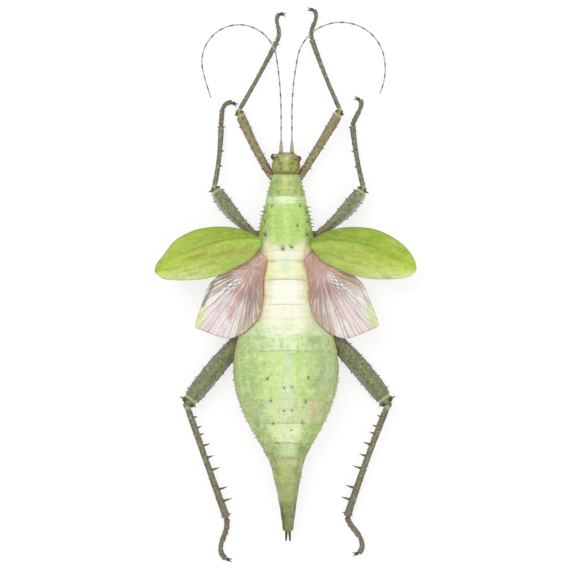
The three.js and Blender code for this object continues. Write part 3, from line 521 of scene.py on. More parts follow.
def curve(points, count):
    """Evenly numbered points on a quadratic curve through a start, a pull and an end."""
    start, pull, end = (np.asarray(p, float) for p in points)
    t = np.linspace(0, 1, count)[:, None]
    return start * (1 - t) ** 2 + pull * 2 * t * (1 - t) + end * t * t


def rounded(t, length, radius):
    """How much a limb's rings shrink to give it round ends."""
    near = np.minimum(t, 1 - t) * length / radius
    return np.sqrt(np.clip(1 - (1 - np.minimum(near, 1)) ** 2, 0.0025, 1))


# ---- Meshes -----------------------------------------------------------------------------------

SPINE_RINGS, SPINE_SIDES = 7, 8


class Shape:
    """Points, faces and named values at the points, gathered until they become one mesh."""

    def __init__(self):
        self.points, self.faces, self.values = [], [], []
        self.count = 0

    def add(self, points, faces, values):
        self.points.append(points)
        self.faces += [[self.count + i for i in face] for face in faces]
        self.values.append({name: np.broadcast_to(v, len(points)) for name, v in values.items()})
        self.count += len(points)

    def rings(self, points, **values):
        """A closed body through rings of points, with a fan over each end."""
        rows, columns = points.shape[:2]
        row, column = np.arange(rows - 1)[:, None] * columns, np.arange(columns)[None, :]
        after = (column + 1) % columns
        corners = [row + column, row + after, row + columns + after, row + columns + column]
        faces = np.stack(corners, -1).reshape(-1, 4).tolist()
        centres = [points[0].mean(0), points[-1].mean(0)]
        for centre, first in ((rows * columns, 0), (rows * columns + 1, (rows - 1) * columns)):
            faces += [[first + c, first + (c + 1) % columns, centre] for c in range(columns)]
        spread = {}
        for name, value in values.items():
            full = np.broadcast_to(value, (rows, columns))
            spread[name] = np.concatenate([full.ravel(), [full[0].mean(), full[-1].mean()]])
        self.add(np.concatenate([points.reshape(-1, 3), centres]), faces, spread)

    def spine(self, base, way, length, radius, bend=(0, 0, 0), **values):
        """A thin horn that leans a way and bends towards its tip."""
        t = np.linspace(0, 1, SPINE_RINGS)
        way = unit(np.asarray(way, float))
        steps = t[:, None] * length
        centres = np.asarray(base) + way * steps + np.asarray(bend) * steps * t[:, None]
        size = radius * np.maximum((1 - t) ** 0.8, 0.06)
        up = np.array([0.0, 1.0, 0.0]) if abs(way[2]) > 0.7 else UP
        self.rings(tube(centres, size, size, SPINE_SIDES, up=up), **{"tip": t[:, None], **values})

    def ball(self, centre, size, rows, sides, **values):
        """A round body with half sizes along x, y and z. A value may be a function of direction."""
        polar = np.linspace(0.02, math.pi - 0.02, rows)[:, None]
        angle = circle(sides)[None, :]
        flat = np.sin(polar)
        ways = np.broadcast_arrays(flat * np.cos(angle), flat * np.sin(angle), np.cos(polar))
        ways = np.stack(ways, -1)
        values = {key: value(ways) if callable(value) else value for key, value in values.items()}
        self.rings(np.asarray(centre) + ways * np.asarray(size), **values)

    def build(self, name, material, nodes, slot):
        """Makes the mesh, in metres and in the frame's own place, and gives it its body."""
        mesh = bpy.data.meshes.new(name)
        points = np.concatenate(self.points) * MM + ORIGIN
        mesh.from_pydata(points.tolist(), [], self.faces)
        for key in sorted({key for part in self.values for key in part}):
            parts = [part.get(key, np.zeros(len(p))) for part, p in zip(self.values, self.points)]
            mesh.attributes.new(key, "FLOAT", "POINT").data.foreach_set("value", np.concatenate(parts))
        work = bmesh.new()
        work.from_mesh(mesh)
        bmesh.ops.recalc_face_normals(work, faces=work.faces)
        work.to_mesh(mesh)
        work.free()
        mesh.shade_smooth()
        mesh.materials.append(material)
        piece = bpy.data.objects.new(name, mesh)
        bpy.context.scene.collection.objects.link(piece)
        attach(piece, BODY)
        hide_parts(*nodes)
        stay_on_solids(piece, points, nodes)


STRAY = 1.6 * MM  # how far a piece may reach beyond its solids' box


def stay_on_solids(piece, points, nodes):
    """Stops the script if a piece reaches further than the solids that it stands for."""
    boxes = [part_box(node) for node in nodes]
    low = np.min([box[0] for box in boxes], axis=0) - STRAY
    high = np.max([box[1] for box in boxes], axis=0) + STRAY
    if (points.min(0) < low).any() or (points.max(0) > high).any():
        raise RuntimeError(f"{piece.name} leaves its solids: {points.min(0)} {points.max(0)} in {low} {high}")


def place_of_origin():
    """Where the trunk's middle line meets y = 0 in the frame, from the pronotum's own box."""
    low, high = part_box("pronotum")
    return np.array([(low.x + high.x) / 2, high.y - (HEAD_REAR - GAP / 2) * MM, 0])


ORIGIN = place_of_origin()


# ---- Materials --------------------------------------------------------------------------------

FACTOR, FIRST, SECOND, MIXED = 0, 6, 7, 2  # sockets of a Mix node that mixes colours
CHITIN_IOR, MEMBRANE_IOR = 1.56, 1.5


def add(tree, kind, inputs=None, **settings):
    """Adds a node. An input that is given a socket is linked, and any other is set."""
    node = tree.nodes.new(kind)
    for name, value in settings.items():
        setattr(node, name, value)
    for key, value in (inputs or {}).items():
        if isinstance(value, bpy.types.NodeSocket):
            tree.links.new(value, node.inputs[key])
        else:
            node.inputs[key].default_value = value
    return node


def start_material(name):
    """A new material and its empty node tree."""
    material = bpy.data.materials.new(name)
    material.use_nodes = True
    material.node_tree.nodes.clear()
    return material, material.node_tree


def spots(tree, size, seed, low, high, stretch=(1, 1, 1)):
    """Soft random spots of a size in millimetres: 0 under the low level and 1 over the high one."""
    place = add(tree, "ShaderNodeTexCoord").outputs["Object"]
    pulled = add(tree, "ShaderNodeVectorMath", {0: place, 1: stretch}, operation="MULTIPLY").outputs[0]
    inputs = {"Vector": pulled, "W": seed, "Scale": 1 / (size * MM), "Detail": 3, "Roughness": 0.55}
    noise = add(tree, "ShaderNodeTexNoise", inputs, noise_dimensions="4D").outputs["Fac"]
    levels = {"Value": noise, "From Min": low, "From Max": high}
    return add(tree, "ShaderNodeMapRange", levels, interpolation_type="SMOOTHSTEP").outputs[0]


def value_of(tree, name, low=0.0, high=1.0):
    """A value that the mesh carries, stretched so that low gives 0 and high gives 1."""
    carried = add(tree, "ShaderNodeAttribute", attribute_name=name).outputs["Fac"]
    return add(tree, "ShaderNodeMapRange", {"Value": carried, "From Min": low, "From Max": high}).outputs[0]


def share_of(tree, where):
    """How much of a layer shows at each place. It is told by the name of a value that the mesh
    carries, or by such a name with its levels, or by what spots() takes, or it is a socket."""
    if isinstance(where, bpy.types.NodeSocket):
        return where
    if isinstance(where, str):
        return value_of(tree, where)
    return value_of(tree, *where) if isinstance(where[0], str) else spots(tree, *where)


def layered(tree, colour, layers):
    """A colour with others laid over it in turn, from rows of (colour, where..., strength)."""
    for other, *places, strength in layers:
        for where in places:
            inputs = {0: share_of(tree, where), 1: strength}
            strength = add(tree, "ShaderNodeMath", inputs, operation="MULTIPLY").outputs[0]
        inputs = {FACTOR: strength, FIRST: colour, SECOND: other}
        colour = add(tree, "ShaderNodeMix", inputs, data_type="RGBA").outputs[MIXED]
    return colour


def grains(tree, size):
    """Rounded grains of a size in millimetres, as a height. The real ones are too fine to show, so
    these are drawn as coarse as they need to be."""
    place = add(tree, "ShaderNodeTexCoord").outputs["Object"]
    cells = add(tree, "ShaderNodeTexVoronoi", {"Vector": place, "Scale": 1 / (size * MM)}).outputs["Distance"]
    levels = {"Value": cells, "From Max": 0.6, "To Min": 1.0, "To Max": 0.0}
    return add(tree, "ShaderNodeMapRange", levels, interpolation_type="SMOOTHSTEP").outputs[0]


def finish(material, colour, patches, rough, height, depth, **fixed):
    """Ends a material. Its roughness wanders between two values, in patches of a size and a seed, and
    the height becomes a bump of a depth in millimetres."""
    tree = material.node_tree
    levels = {"Value": spots(tree, *patches, 0.3, 0.7), "To Min": rough[0], "To Max": rough[1]}
    roughness = add(tree, "ShaderNodeMapRange", levels).outputs[0]
    bump = add(tree, "ShaderNodeBump", {"Height": height, "Distance": depth * MM}).outputs[0]
    inputs = {"Base Color": colour, "Roughness": roughness, "Normal": bump, **fixed}
    shader = add(tree, "ShaderNodeBsdfPrincipled", inputs).outputs[0]
    add(tree, "ShaderNodeOutputMaterial", {"Surface": shader})
    return material


# The trunk's colours, plate by plate: y where each starts and ends, its middle and its flanks.
TRUNK_TINTS = {
    "pronotum": [43.8, 35.2, "bbcd6e", "9bb15a"],
    "bare membrane": [34.9, 32.2, "f2ffcc", "c4d492"],
    "mesothorax": [31.6, 15.6, "badf6e", "a0b23c"],
    "metathorax, front fold": [13.6, 10.2, "fafce0", "f0e7b8"],
    "metathorax, rear fold": [8.0, 2.2, "f6f9ce", "f5ebb2"],
    "first abdominal fold": [1.6, -6.6, "fffff0", "efe8be"],
    "abdomen_2": [-8.4, -12.5, "fdfde2", "f0eac8"],
    "abdomen_2, rear part": [-15.0, -20.2, "fbfcdc", "d0dea8"],
    "abdomen_3": [-20.9, -26.2, "e6f8c0", "b6cc88"],
    "abdomen_4 and 5": [-27.0, -45.6, "d6ec9c", "b2cd80"],
    "abdomen_6": [-46.2, -54.9, "daeaac", "b4ca84"],
    "abdomen_7": [-55.7, -62.8, "ecf8b8", "b4c676"],
    "abdomen_8": [-63.6, -68.6, "c8dc98", "98a866"],
    "abdomen_9": [-70.6, -76.2, "b8c078", "8e9852"],
    "beak": [-79.5, -84, "a4aa66", "989e64"],
    "beak, rear part": [-90, -97, "70743a", "5c5a34"],
}
# Colours of the head's clouds and marks, of a feeler's first joints, and of stains in horn.
# The grey is the colour of a painted highlight across the brow.
HEAD_TINTS = {"yellow": "c3cb78", "moss": "84a04c", "brown": "83683e", "light": "dcdf9a",
              "green": "78aa3c", "rust": "8c5c30", "grey": "a9a3a0", "line": "453a20"}
SCAPE_TINTS = {"skin": "a9a88f", "stain": "5e5b50"}
HORN_STAIN = "8a7a5c"
# Horn of the valves and the claws, dark and paler. Each eye's pigment, its glow and its painted highlight.
HORN_TINTS = {"valve": ["33332a", "6b6a4a"], "claw": ["2f2a22", "6a5f48"]}
EYE_TINTS = {"left": ["33241a", "5a4432", "e0cfb4"], "right": ["47241a", "74442a", "a4703e"]}
# The legs' materials: name, seed, and which settings are its base, crest, edge and shade.
LIMB_FINISHES = {
    "hip": ["chitin_hip_pale", 96, "front_hip", "speckle", "front_thigh", "shade"],
    "front": ["chitin_femur_brown", 92, "front_thigh", "front_crest", "shin_edge", "shade"],
    "middle": ["chitin_femur_green", 76, "middle_thigh", "middle_crest", "thigh_edge", "green_shade"],
    "hind": ["chitin_femur_grey_green", 80, "thigh", "thigh_crest", "thigh_edge", "green_shade"],
    "tibia": ["chitin_tibia_striped", 84, "shin", "shin_crest", "shin_edge", "shade"],
    "tarsus": ["chitin_foot_padded", 88, "foot", "foot", "shin_edge", "shade"],
}


def plate_colours(tree, column):
    """The plates' colours along the trunk, down its middle or on its flanks."""
    front, rear = TRUNK[0][0], TRUNK[-1][0]
    stops = [((y - rear) / (front - rear), row[column]) for row in TRUNK_TINTS.values() for y in row[:2]]
    node = add(tree, "ShaderNodeValToRGB", {"Fac": value_of(tree, "along")})
    elements = node.color_ramp.elements
    for index, (place, code) in enumerate(sorted(stops)):
        element = elements[index] if index < 2 else elements.new(place)
        element.position, element.color = place, linear(code)
    return node.outputs["Color"]


def trunk_material(skin):
    """Chitin cuticle, dried: soft green pigment seen through a waxy, finely grained skin."""
    material, tree = start_material("chitin_trunk_dried")
    middle, flanks = (plate_colours(tree, column) for column in (2, 3))
    levels = {"Value": spots(tree, 1.0, 5, 0.36, 0.6), "To Min": 0.55}
    broken = add(tree, "ShaderNodeMapRange", levels).outputs[0]
    lengthwise, crosswise = (1.5, 0.6, 1), (0.6, 1.5, 1)
    colour = layered(tree, middle, [
        (skin.stripe, "stripe", 0.45),
        (flanks, "flank", 1),
        (skin.cloud_green, (2.6, 1, 0.47, 0.6), "mottle", 0.4),
        (skin.cloud_pale, (1.8, 2, 0.5, 0.64), "mottle", 0.3),
        (skin.cloud_yellow, (3.4, 7, 0.5, 0.62), "mottle", 0.35),
        (skin.cloud_deep, (1.2, 3, 0.52, 0.64, crosswise), "mottle", 0.42),
        (skin.cloud_deep, (2.2, 9, 0.56, 0.66, lengthwise), "mottle", 0.45),
        (skin.cloud_pale, (2.8, 10, 0.5, 0.66, (1.8, 0.5, 1)), "mottle", "flank", 0.26),
        (skin.cloud_grey, (1.4, 8, 0.44, 0.6, lengthwise), "greyed", 0.32),
        *[(getattr(skin, f"mark_{name}"), name, broken, 1) for name in MARKS],
        # Seams: brown lines between plates and in grooves, and painted shade in the creases of the bare
        # membrane.
        (skin.seam, "line", 0.75),
        (skin.edge, "rim", 0.55),
        (skin.spine, ("tip", 0.1, 0.4), 1),
    ])
    return finish(material, colour, (2, 6), (0.4, 0.58), grains(tree, 0.7), 0.12, IOR=CHITIN_IOR)


def head_material(skin):
    """Chitin cuticle of the head: thicker, coarsely grained, browner in its folds, with a highlight painted
    across its brow.
    """
    material, tree = start_material("chitin_head_dried")
    tints = {name: linear(code) for name, code in HEAD_TINTS.items()}
    colour = layered(tree, skin.head, [
        (tints["yellow"], (1.9, 11, 0.48, 0.64), 0.55),
        (tints["moss"], (1.5, 12, 0.52, 0.66), 0.55),
        (tints["brown"], (1.1, 13, 0.56, 0.68), 0.5),
        (tints["light"], "light", 0.85),
        (tints["green"], "green", 0.85),
        (tints["rust"], "rust", 0.85),
        # Painted highlight across the brow.
        (tints["grey"], "grey", 0.8),
        (tints["line"], "line", 0.85),
        (skin.spine, ("tip", 0.35, 0.7), 1),
    ])
    return finish(material, colour, (1, 14), (0.4, 0.6), grains(tree, 0.55), 0.12, IOR=CHITIN_IOR)


def limb_material(limbs, name, seed, *keys):
    """Chitin of a leg: tough and matt, speckled dark and light over brown and green, with pale knees."""
    material, tree = start_material(name)
    base, crest, edge, shade = (getattr(limbs, key) for key in keys)
    colour = layered(tree, base, [
        (crest, "crest", 0.85),
        (limbs.brown, (3.4, seed + 5, 0.5, 0.64), 0.35),
        (edge, "rim", 0.75),
        (limbs.hip, "hip", 0.6),
        (shade, (1.6, seed, 0.5, 0.64), 0.5),
        (limbs.fringe, "fringe", 0.85),
        (limbs.speckle, (0.9, seed + 1, 0.5, 0.68), 0.56),
        (shade, (0.7, seed + 3, 0.53, 0.62), 0.62),
        (limbs.ring, "ring", 1),
        (limbs.knee, "knee", 1),
        (limbs.thorn, "thorn", 1),
        (limbs.tooth, ("tip", 0.1, 0.45), 1),
    ])
    return finish(material, colour, (1.2, seed + 2), (0.5, 0.72), grains(tree, 0.6), 0.12, IOR=CHITIN_IOR)


def feeler_material(limbs):
    """Chitin of a feeler: a smooth dry thread, ringed dark where its joints are."""
    material, tree = start_material("chitin_feeler_ringed")
    colour = layered(tree, limbs.feeler, [
        (limbs.feeler_joint, "band", 1),
        (linear(SCAPE_TINTS["skin"]), "scape", 0.8),
        (linear(SCAPE_TINTS["stain"]), (1.2, 31, 0.5, 0.7), 0.4),
    ])
    return finish(material, colour, (1, 32), (0.42, 0.6), grains(tree, 0.35), 0.03, IOR=CHITIN_IOR)


def horn_material(name, dark, light):
    """Hard dark chitin, as of a claw: smooth and glossy, paler at its root."""
    material, tree = start_material(name)
    colour = layered(tree, linear(light), [
        (linear(dark), ("tip", 0.0, 0.5), 1),
        (linear(HORN_STAIN), (0.7, 41, 0.55, 0.72), 0.4),
    ])
    return finish(material, colour, (0.8, 42), (0.25, 0.42), grains(tree, 0.3), 0.03, IOR=CHITIN_IOR)


def eye_material(name, pigment, glow, gleam):
    """A dried compound eye: many tiny clear lenses over dark pigment, which give it a soft gloss, and a
    highlight painted into its colour.
    """
    material, tree = start_material(name)
    # The gleam layer is a painted highlight, laid on one side of the eye.
    layers = [(linear(glow), (0.9, 51, 0.45, 0.65), 0.7), (linear(gleam), "gleam", 0.9)]
    colour = layered(tree, linear(pigment), layers)
    clear = {"IOR": CHITIN_IOR, "Coat Weight": 0.3}
    return finish(material, colour, (0.5, 52), (0.16, 0.28), grains(tree, 0.16), 0.03, **clear)


def forewing_material(wings):
    """Leathery forewing: green pigment under a waxy skin, streaked along its fine veins, its front field
    darkened partly by painted shade.
    """
    material, tree = start_material("chitin_forewing_leathery")
    rear, middle, front = (
        layered(tree, getattr(wings, f"{field}_root"), [(getattr(wings, f"{field}_tip"), "along", 1)])
        for field in ("rear", "middle", "front")
    )
    pull = (0.7, 1.4, 1)
    colour = layered(tree, middle, [
        (rear, "rearward", 1),
        (wings.band, "band", 0.6),
        # The front field: its own deeper green, darkened further as painted shade of its downward slope.
        (front, "front", 0.95),
        (wings.hem, "hem", 0.85),
        (wings.streak_dark, ("streak", 0.5, 1.0), 0.45),
        (wings.streak_light, ("streak", 0.5, 0.0), 0.3),
        (wings.streak_dark, (2.6, 61, 0.48, 0.64, pull), 0.3),
        (wings.streak_light, (1.6, 62, 0.5, 0.66, pull), 0.22),
        (wings.streak_dark, (0.9, 65, 0.5, 0.62, pull), 0.26),
        (wings.hem, (0.8, 66, 0.53, 0.66, pull), 0.18),
        (wings.fleck, (1.7, 63, 0.48, 0.62, pull), "fleck", 0.55),
        (wings.streak_light, "vein", 0.18),
        (wings.stem, "stem", 0.6),
        (wings.edge, "rim", 0.7),
    ])
    waxy = {"IOR": MEMBRANE_IOR, "Specular IOR Level": 0.3}
    return finish(material, colour, (2, 64), (0.36, 0.52), grains(tree, 0.5), 0.05, **waxy)


def hindwing_material(wings):
    """A dry hind wing: a clear, papery membrane, pleated between dark veins, with a silky sheen, highlights
    on its pleats and shade in its folds all painted into its colour.
    """
    material, tree = start_material("chitin_hindwing_membrane")
    colour = layered(tree, wings.membrane, [
        # Painted highlight: near white where the pleats would catch the light.
        (wings.pleat, "pale", 1),
        (wings.beige, "beige", 0.7),
        (wings.root, "root", 0.9),
        (wings.grey, "grey", 0.55),
        (wings.costal, "costal", 0.85),
        (wings.blush, "blush", 0.7),
        # Painted highlight: the white patch behind the front edge, in the same near white.
        (wings.pleat, "window", 0.95),
        # Painted sheen where the sheen value is high, and painted shade in the folds where it is low.
        (wings.silk, ("silk", 0.55, 0.9), 0.8),
        (wings.fold, ("silk", 0.45, 0.1), 0.45),
        (wings.fold, (1.6, 71, 0.52, 0.66), 0.2),
        (wings.vein, "net", 0.05),
        (wings.vein, "crack", 0.6),
        (wings.vein, "vein", 0.85),
        (wings.inner, "inner", 0.78),
        (wings.corner, "corner", 0.75),
        (wings.margin, "rim", 0.8),
    ])
    return finish(material, colour, (2, 72), (0.2, 0.36), value_of(tree, "net"), 0.05, IOR=MEMBRANE_IOR)


# ---- Trunk and tail ---------------------------------------------------------------------------

# The bare numbers in the formulas from here on are places, widths and heights in millimetres, and
# shares and strengths from 0 to 1.

trunk_at, head_at = smooth_rows(TRUNK), smooth_rows(HEAD)


def tail_lean(y):
    """How far the middle line leans to the right at y."""
    return TAIL_LEAN["shift"] * smoothstep(-y, -TAIL_LEAN["from"], -TAIL_LEAN["to"])


def section(row_at, y, angle, relief=0.0, shrink=1.0):
    """Points of the skin at y and an angle round it: 0 is the right side, a quarter turn the back."""
    half_width, back, widest, belly = np.moveaxis(row_at(y), -1, 0)
    c, s = np.cos(angle), np.sin(angle)
    power = 2 / np.where(s >= 0, DORSAL_POWER, VENTRAL_POWER)
    x = half_width * signed_power(c, power) * shrink
    z = np.where(s >= 0, back - widest, widest - belly) * signed_power(s, power) * shrink
    away = np.hypot(x, z) + 1e-6
    x, z = x * (1 + relief / away), widest + z * (1 + relief / away)
    return np.stack([x + tail_lean(y), y, np.maximum(z, 0)], -1)


def back_height(x, y):
    """The height of the smooth back over a place."""
    half_width, back, widest, _ = np.moveaxis(trunk_at(y), -1, 0)
    share = np.minimum(1, np.abs(x) / half_width) ** DORSAL_POWER
    return widest + (back - widest) * (1 - share) ** (1 / DORSAL_POWER)


def blots(table, x, y):
    """The sum of soft round patches, from rows of x, y, half width, half length and strength."""
    total = np.zeros_like(x)
    for place_x, place_y, half_width, half_length, strength in table:
        total += strength * np.exp(-(((x - place_x) / half_width) ** 2 + ((y - place_y) / half_length) ** 2))
    return total


def along_trunk(y):
    """The place along the trunk, from 0 at its rear end to 1 at its front end."""
    return (y - TRUNK[-1][0]) / (TRUNK[0][0] - TRUNK[-1][0])


def back_spines():
    """The side, x, y and length of each spine of the back."""
    for word, x, y, length in BACK_SPINES:
        for name, side in SIDES.items():
            if word in ("both", name):
                yield side, x, y, length


def trunk_values(x, y, top):
    """The values that colour the trunk's skin, from x, y and whether a point is on the back."""
    half_width = trunk_at(y)[..., 0]
    across = x - tail_lean(y)
    share = np.abs(across) / half_width
    wander = 0.05 * np.sin(y * 0.9) + 0.04 * np.sin(y * 2.3 + 1) + 0.03 * np.sin(y * 4.1 + across)
    thorax = span(y, 13.2, 14.8, 31.6, 32.2)
    tongue = mix(2.0, 7.2, smoothstep(y, 13.2, 18.6))
    notum_flank = smoothstep(np.abs(across - 0.3) + wander * 8, tongue - 1.1, tongue + 1.3)
    wing_flank = smoothstep(share + wander, 0.28, 0.62)
    belly_flank = smoothstep(share + wander, 0.26, 0.7)
    wings = span(y, -9, -7, 13, 14)
    flank = thorax * notum_flank + wings * wing_flank + (1 - thorax - wings) * belly_flank
    pale = span(y, -22, -15, 12, 16)
    beak, collar = smoothstep(-y, 76, 84), smoothstep(y, 32, 37)
    rim = smoothstep(share, mix(0.9, 0.94, smoothstep(-y, 30, 44)), 0.99)
    values = {
        "along": along_trunk(y),
        "flank": np.where(top, flank, 1),
        "mottle": (1 - 0.92 * pale - 0.5 * beak - 0.4 * collar) * mix(0.6, 1, smoothstep(share, 0.1, 0.6)),
        "greyed": smoothstep(across, 10.5, 16) * span(-y, 22, 30, 52, 62) * top,
        "stripe": hump(across, 0.6, 1.4) * span(-y, 20, 26, 60, 66) * top,
        "rim": rim * span(-y, 17, 21, 66, 74) * top,
    }
    for name, rows in MARKS.items():
        values[name] = np.clip(blots(rows, across, y), 0, 1) * top
    at_wings = span(y, -7.4, -5, 11, 13) * top
    seam = hump(np.abs(across), 8.9, 0.4) * at_wings * (0.55 + 0.35 * np.sin(y * 2.1 + 2 * np.sign(across)))
    values["rust"] = np.clip(values["rust"] + 0.9 * seam, 0, 1)
    hinge = smoothstep(np.abs(across), 8.7, 10.2) * span(y, 2, 5, 12, 15) * top
    values["olive"] = np.clip(values["olive"] + 0.75 * hinge, 0, 1)
    for side, foot_x, foot_y, length in back_spines():
        off = ((across - side * foot_x) ** 2 + ((y - foot_y) / 1.6) ** 2) / (0.42 * length) ** 2
        values["dark"] = np.clip(values["dark"] + 0.85 * np.exp(-off) * top, 0, 1)
    return values


def skin_lumps(plain):
    """Fine wrinkles of dried skin, that run round the trunk, and lengthwise folds of its flanks."""
    wrinkles = lumps(plain * [0.35, 1.5, 0.5], 2.6, 5) * 0.05 + lumps(plain, 1.4, 6) * 0.035
    folds = lumps(plain * [1.2, 0.25, 1.2], 2.4, 10) * 0.07
    return wrinkles + folds + lumps(plain, 5, 7) * 0.09


def plate_shape(name, front, rear, step, line_strength, skin):
    """One plate as a closed ring: its front is tucked in and its rear rim stands over the next."""
    front = BARE_FRONT.get(name, front)
    grooved = [y + EDGE_RINGS / 2 for y, *_ in GROOVES if rear < y < front]
    inner = np.concatenate([np.arange(rear + 0.6, front - 0.6, 0.4), *grooved])
    ends = [rear - 0.06 + np.abs(EDGE_RINGS) / 3, rear + 0.25 + EDGE_RINGS / 2, front - EDGE_RINGS]
    s = np.unique(np.round(np.concatenate([*ends, inner]), 3))
    s = s[s < HEAD_REAR - 0.1]
    s, angle = np.meshgrid(s, circle(168), indexing="ij")
    share = np.abs(signed_power(np.cos(angle), 2 / DORSAL_POWER))
    y = s - FOLD_ARCH * share ** 2 * smoothstep(s, TAIL_FRONT - 1, TAIL_FRONT + 6) * smoothstep(-s, -44, -38)
    plain = section(trunk_at, y, angle)
    x, top = plain[..., 0], np.sin(angle) > 0
    middle = 1 - smoothstep(share, 0.3, 0.66)

    stand = skin.plate_step / MM * step / PLATE_STEP
    over = s - rear
    relief = stand * np.exp(-np.maximum(over, 0) / 2.2) * (0.4 + 0.6 * middle)
    relief -= (0.12 + stand) * (1 - smoothstep(over, -0.08, 0.16))
    relief -= 0.3 * (1 - smoothstep(front - s, -0.25, 0.05))
    line = line_strength * hump(over, 0.12, 0.24) * middle * top
    for groove, depth, dark in GROOVES:
        relief -= depth * hump(s, groove, 0.3) * (0.5 + 0.5 * top)
        line = line + dark * hump(s, groove, 0.24) * (1 - smoothstep(share, 0.5, 0.8)) * top
    relief += blots(SWELLINGS, x, y) * top + skin_lumps(plain) * (0.4 + 0.6 * top)
    keel = span(y, 14, 17, 31, 32) * hump(np.abs(x), 5.9, 0.5)
    relief += 0.16 * keel * top - 0.16 * hump(share, 0.88, 0.03) * smoothstep(-s, 16, 24) * top
    shape = Shape()
    shape.rings(section(trunk_at, y, angle, relief), line=line, **trunk_values(x, y, top))
    add_trunk_spines(shape, front, rear)
    return shape


def membrane_shape():
    """The soft pale skin that joins the plates, wrinkled where it shows in front of the mesothorax, with
    painted shade in the creases.
    """
    rings = np.arange(TAIL_FRONT - 0.6, HEAD_REAR + 0.9, 0.3)
    s, angle = np.meshgrid(rings, circle(120), indexing="ij")
    plain = section(trunk_at, s, angle)
    bare = span(s, 31.0, 31.7, 35.2, 35.8)
    creases = 0.08 * np.cos((s - 33.4) / 0.55) * bare
    relief = -0.42 + 0.34 * bare + creases + lumps(plain * [0.4, 1.4, 0.6], 1.8, 12) * 0.05 * bare
    relief -= 1.6 * smoothstep(s, HEAD_REAR, HEAD_REAR + 0.8)
    relief -= 0.6 * (1 - smoothstep(s, TAIL_FRONT - 0.5, TAIL_FRONT))
    shape = Shape()
    x, top = plain[..., 0], np.sin(angle) > 0
    # Painted shade: the seam colour darkens the troughs of the creases.
    line = 0.2 * smoothstep(-creases, 0.04, 0.08) * top
    shape.rings(section(trunk_at, s, angle, relief), line=line, **trunk_values(x, s, top))
    return shape


def add_trunk_spines(shape, front, rear):
    """The pale, dark-tipped spines of one plate, on its back and along both side edges."""
    for side, x, y, length in back_spines():
        if rear < y < front:
            base = [side * x, y, float(back_height(np.array(x), np.array(y))) - 0.15]
            way = [side * x * 0.05, -0.7, 1]
            shape.spine(base, way, length + 0.15, 0.2 + 0.16 * length, along=along_trunk(y), flank=0.3)
    for start, end, count, length in MARGIN_SPINES:
        draw = np.random.default_rng(abs(int(start * 10)))
        for side in SIDES.values():
            for i in range(count):
                y = mix(start, end, (i + draw.uniform(0.25, 0.75)) / count)
                grown = length * draw.uniform(0.55, 1.05)
                if not rear < y < front:
                    continue
                half_width, _, widest, _ = trunk_at(np.array(y))
                base = [side * (half_width - 0.45), y, widest + 0.3]
                way = [side, -0.45 + 0.3 * (y > 0), 0.15]
                at = along_trunk(y)
                shape.spine(base, way, grown + 0.5, 0.2 + 0.06 * grown, along=at, flank=1.0)
                small = [side * half_width * 0.9, y - 0.9, widest + 2.2]
                shape.spine(small, [side, -0.2, 0.8], 0.3 + grown * 0.2, 0.16, along=at, flank=0.9)


def beak_shape(end, plane, upper):
    """One half of the tail's beak, above or below its mouth, with a blunt rounded end."""
    t = np.linspace(0, 1, 90)
    y, angle = np.meshgrid(mix(TAIL_FRONT + 0.3, end, t), circle(96), indexing="ij")
    shrink = rounded(0.5 + t[:, None] / 2, 2 * (TAIL_FRONT - end), 1.1)
    plain = section(trunk_at, y, angle)
    share, top = np.abs(np.cos(angle)), np.sin(angle) > 0
    relief = lumps(plain * [1, 0.4, 1], 1.6, 8) * 0.07 + 0.14 * hump(share, 0, 0.18) * top
    relief -= 0.35 * (1 - smoothstep(TAIL_FRONT + 0.3 - y, 0, 0.5))
    points = section(trunk_at, y, angle, relief, shrink)
    points[..., 2] = np.maximum(points[..., 2], plane) if upper else np.minimum(points[..., 2], plane)
    values = trunk_values(points[..., 0], y, top)
    across = points[..., 0] - tail_lean(y)
    streak = smoothstep(-y, 88, 96) * hump(across, 0.5, 0.5) * top
    values["olive"] = np.clip(values["olive"] + 0.8 * streak, 0, 1)
    edge = smoothstep(-y, 84, 92) * hump(across / trunk_at(y)[..., 0], -0.92, 0.25)
    values["dark"] = np.clip(values["dark"] + 0.8 * edge * top, 0, 1)
    line = 0.7 * hump(np.abs(points[..., 2] - plane), 0, 0.12)
    shape = Shape()
    shape.rings(points, line=line, **values)
    return shape


def valve_shape(side):
    """One of the two dark blades that stand out of the beak."""
    t = np.linspace(0, 1, 40)
    x = TAIL_LEAN["shift"] + side * VALVE["apart"]
    start = np.array([x, TAIL["upper"] + VALVE["root"], TAIL["split"]])
    end = start + [side * VALVE["spread"], -VALVE["length"], -VALVE["drop"]]
    centres = mix(start, end, t[:, None])
    height = VALVE["radius"] * (1 - 0.45 * t * t) * rounded(t, VALVE["length"], 0.5)
    grain = lumps(np.repeat(centres[:, None], 16, 1), 0.8, 9) * 0.02
    shape = Shape()
    shape.rings(tube(centres, height * VALVE["narrow"], height, 16, grain), tip=mix(0.2, 1, t)[:, None])
    return shape


# ---- Head -------------------------------------------------------------------------------------

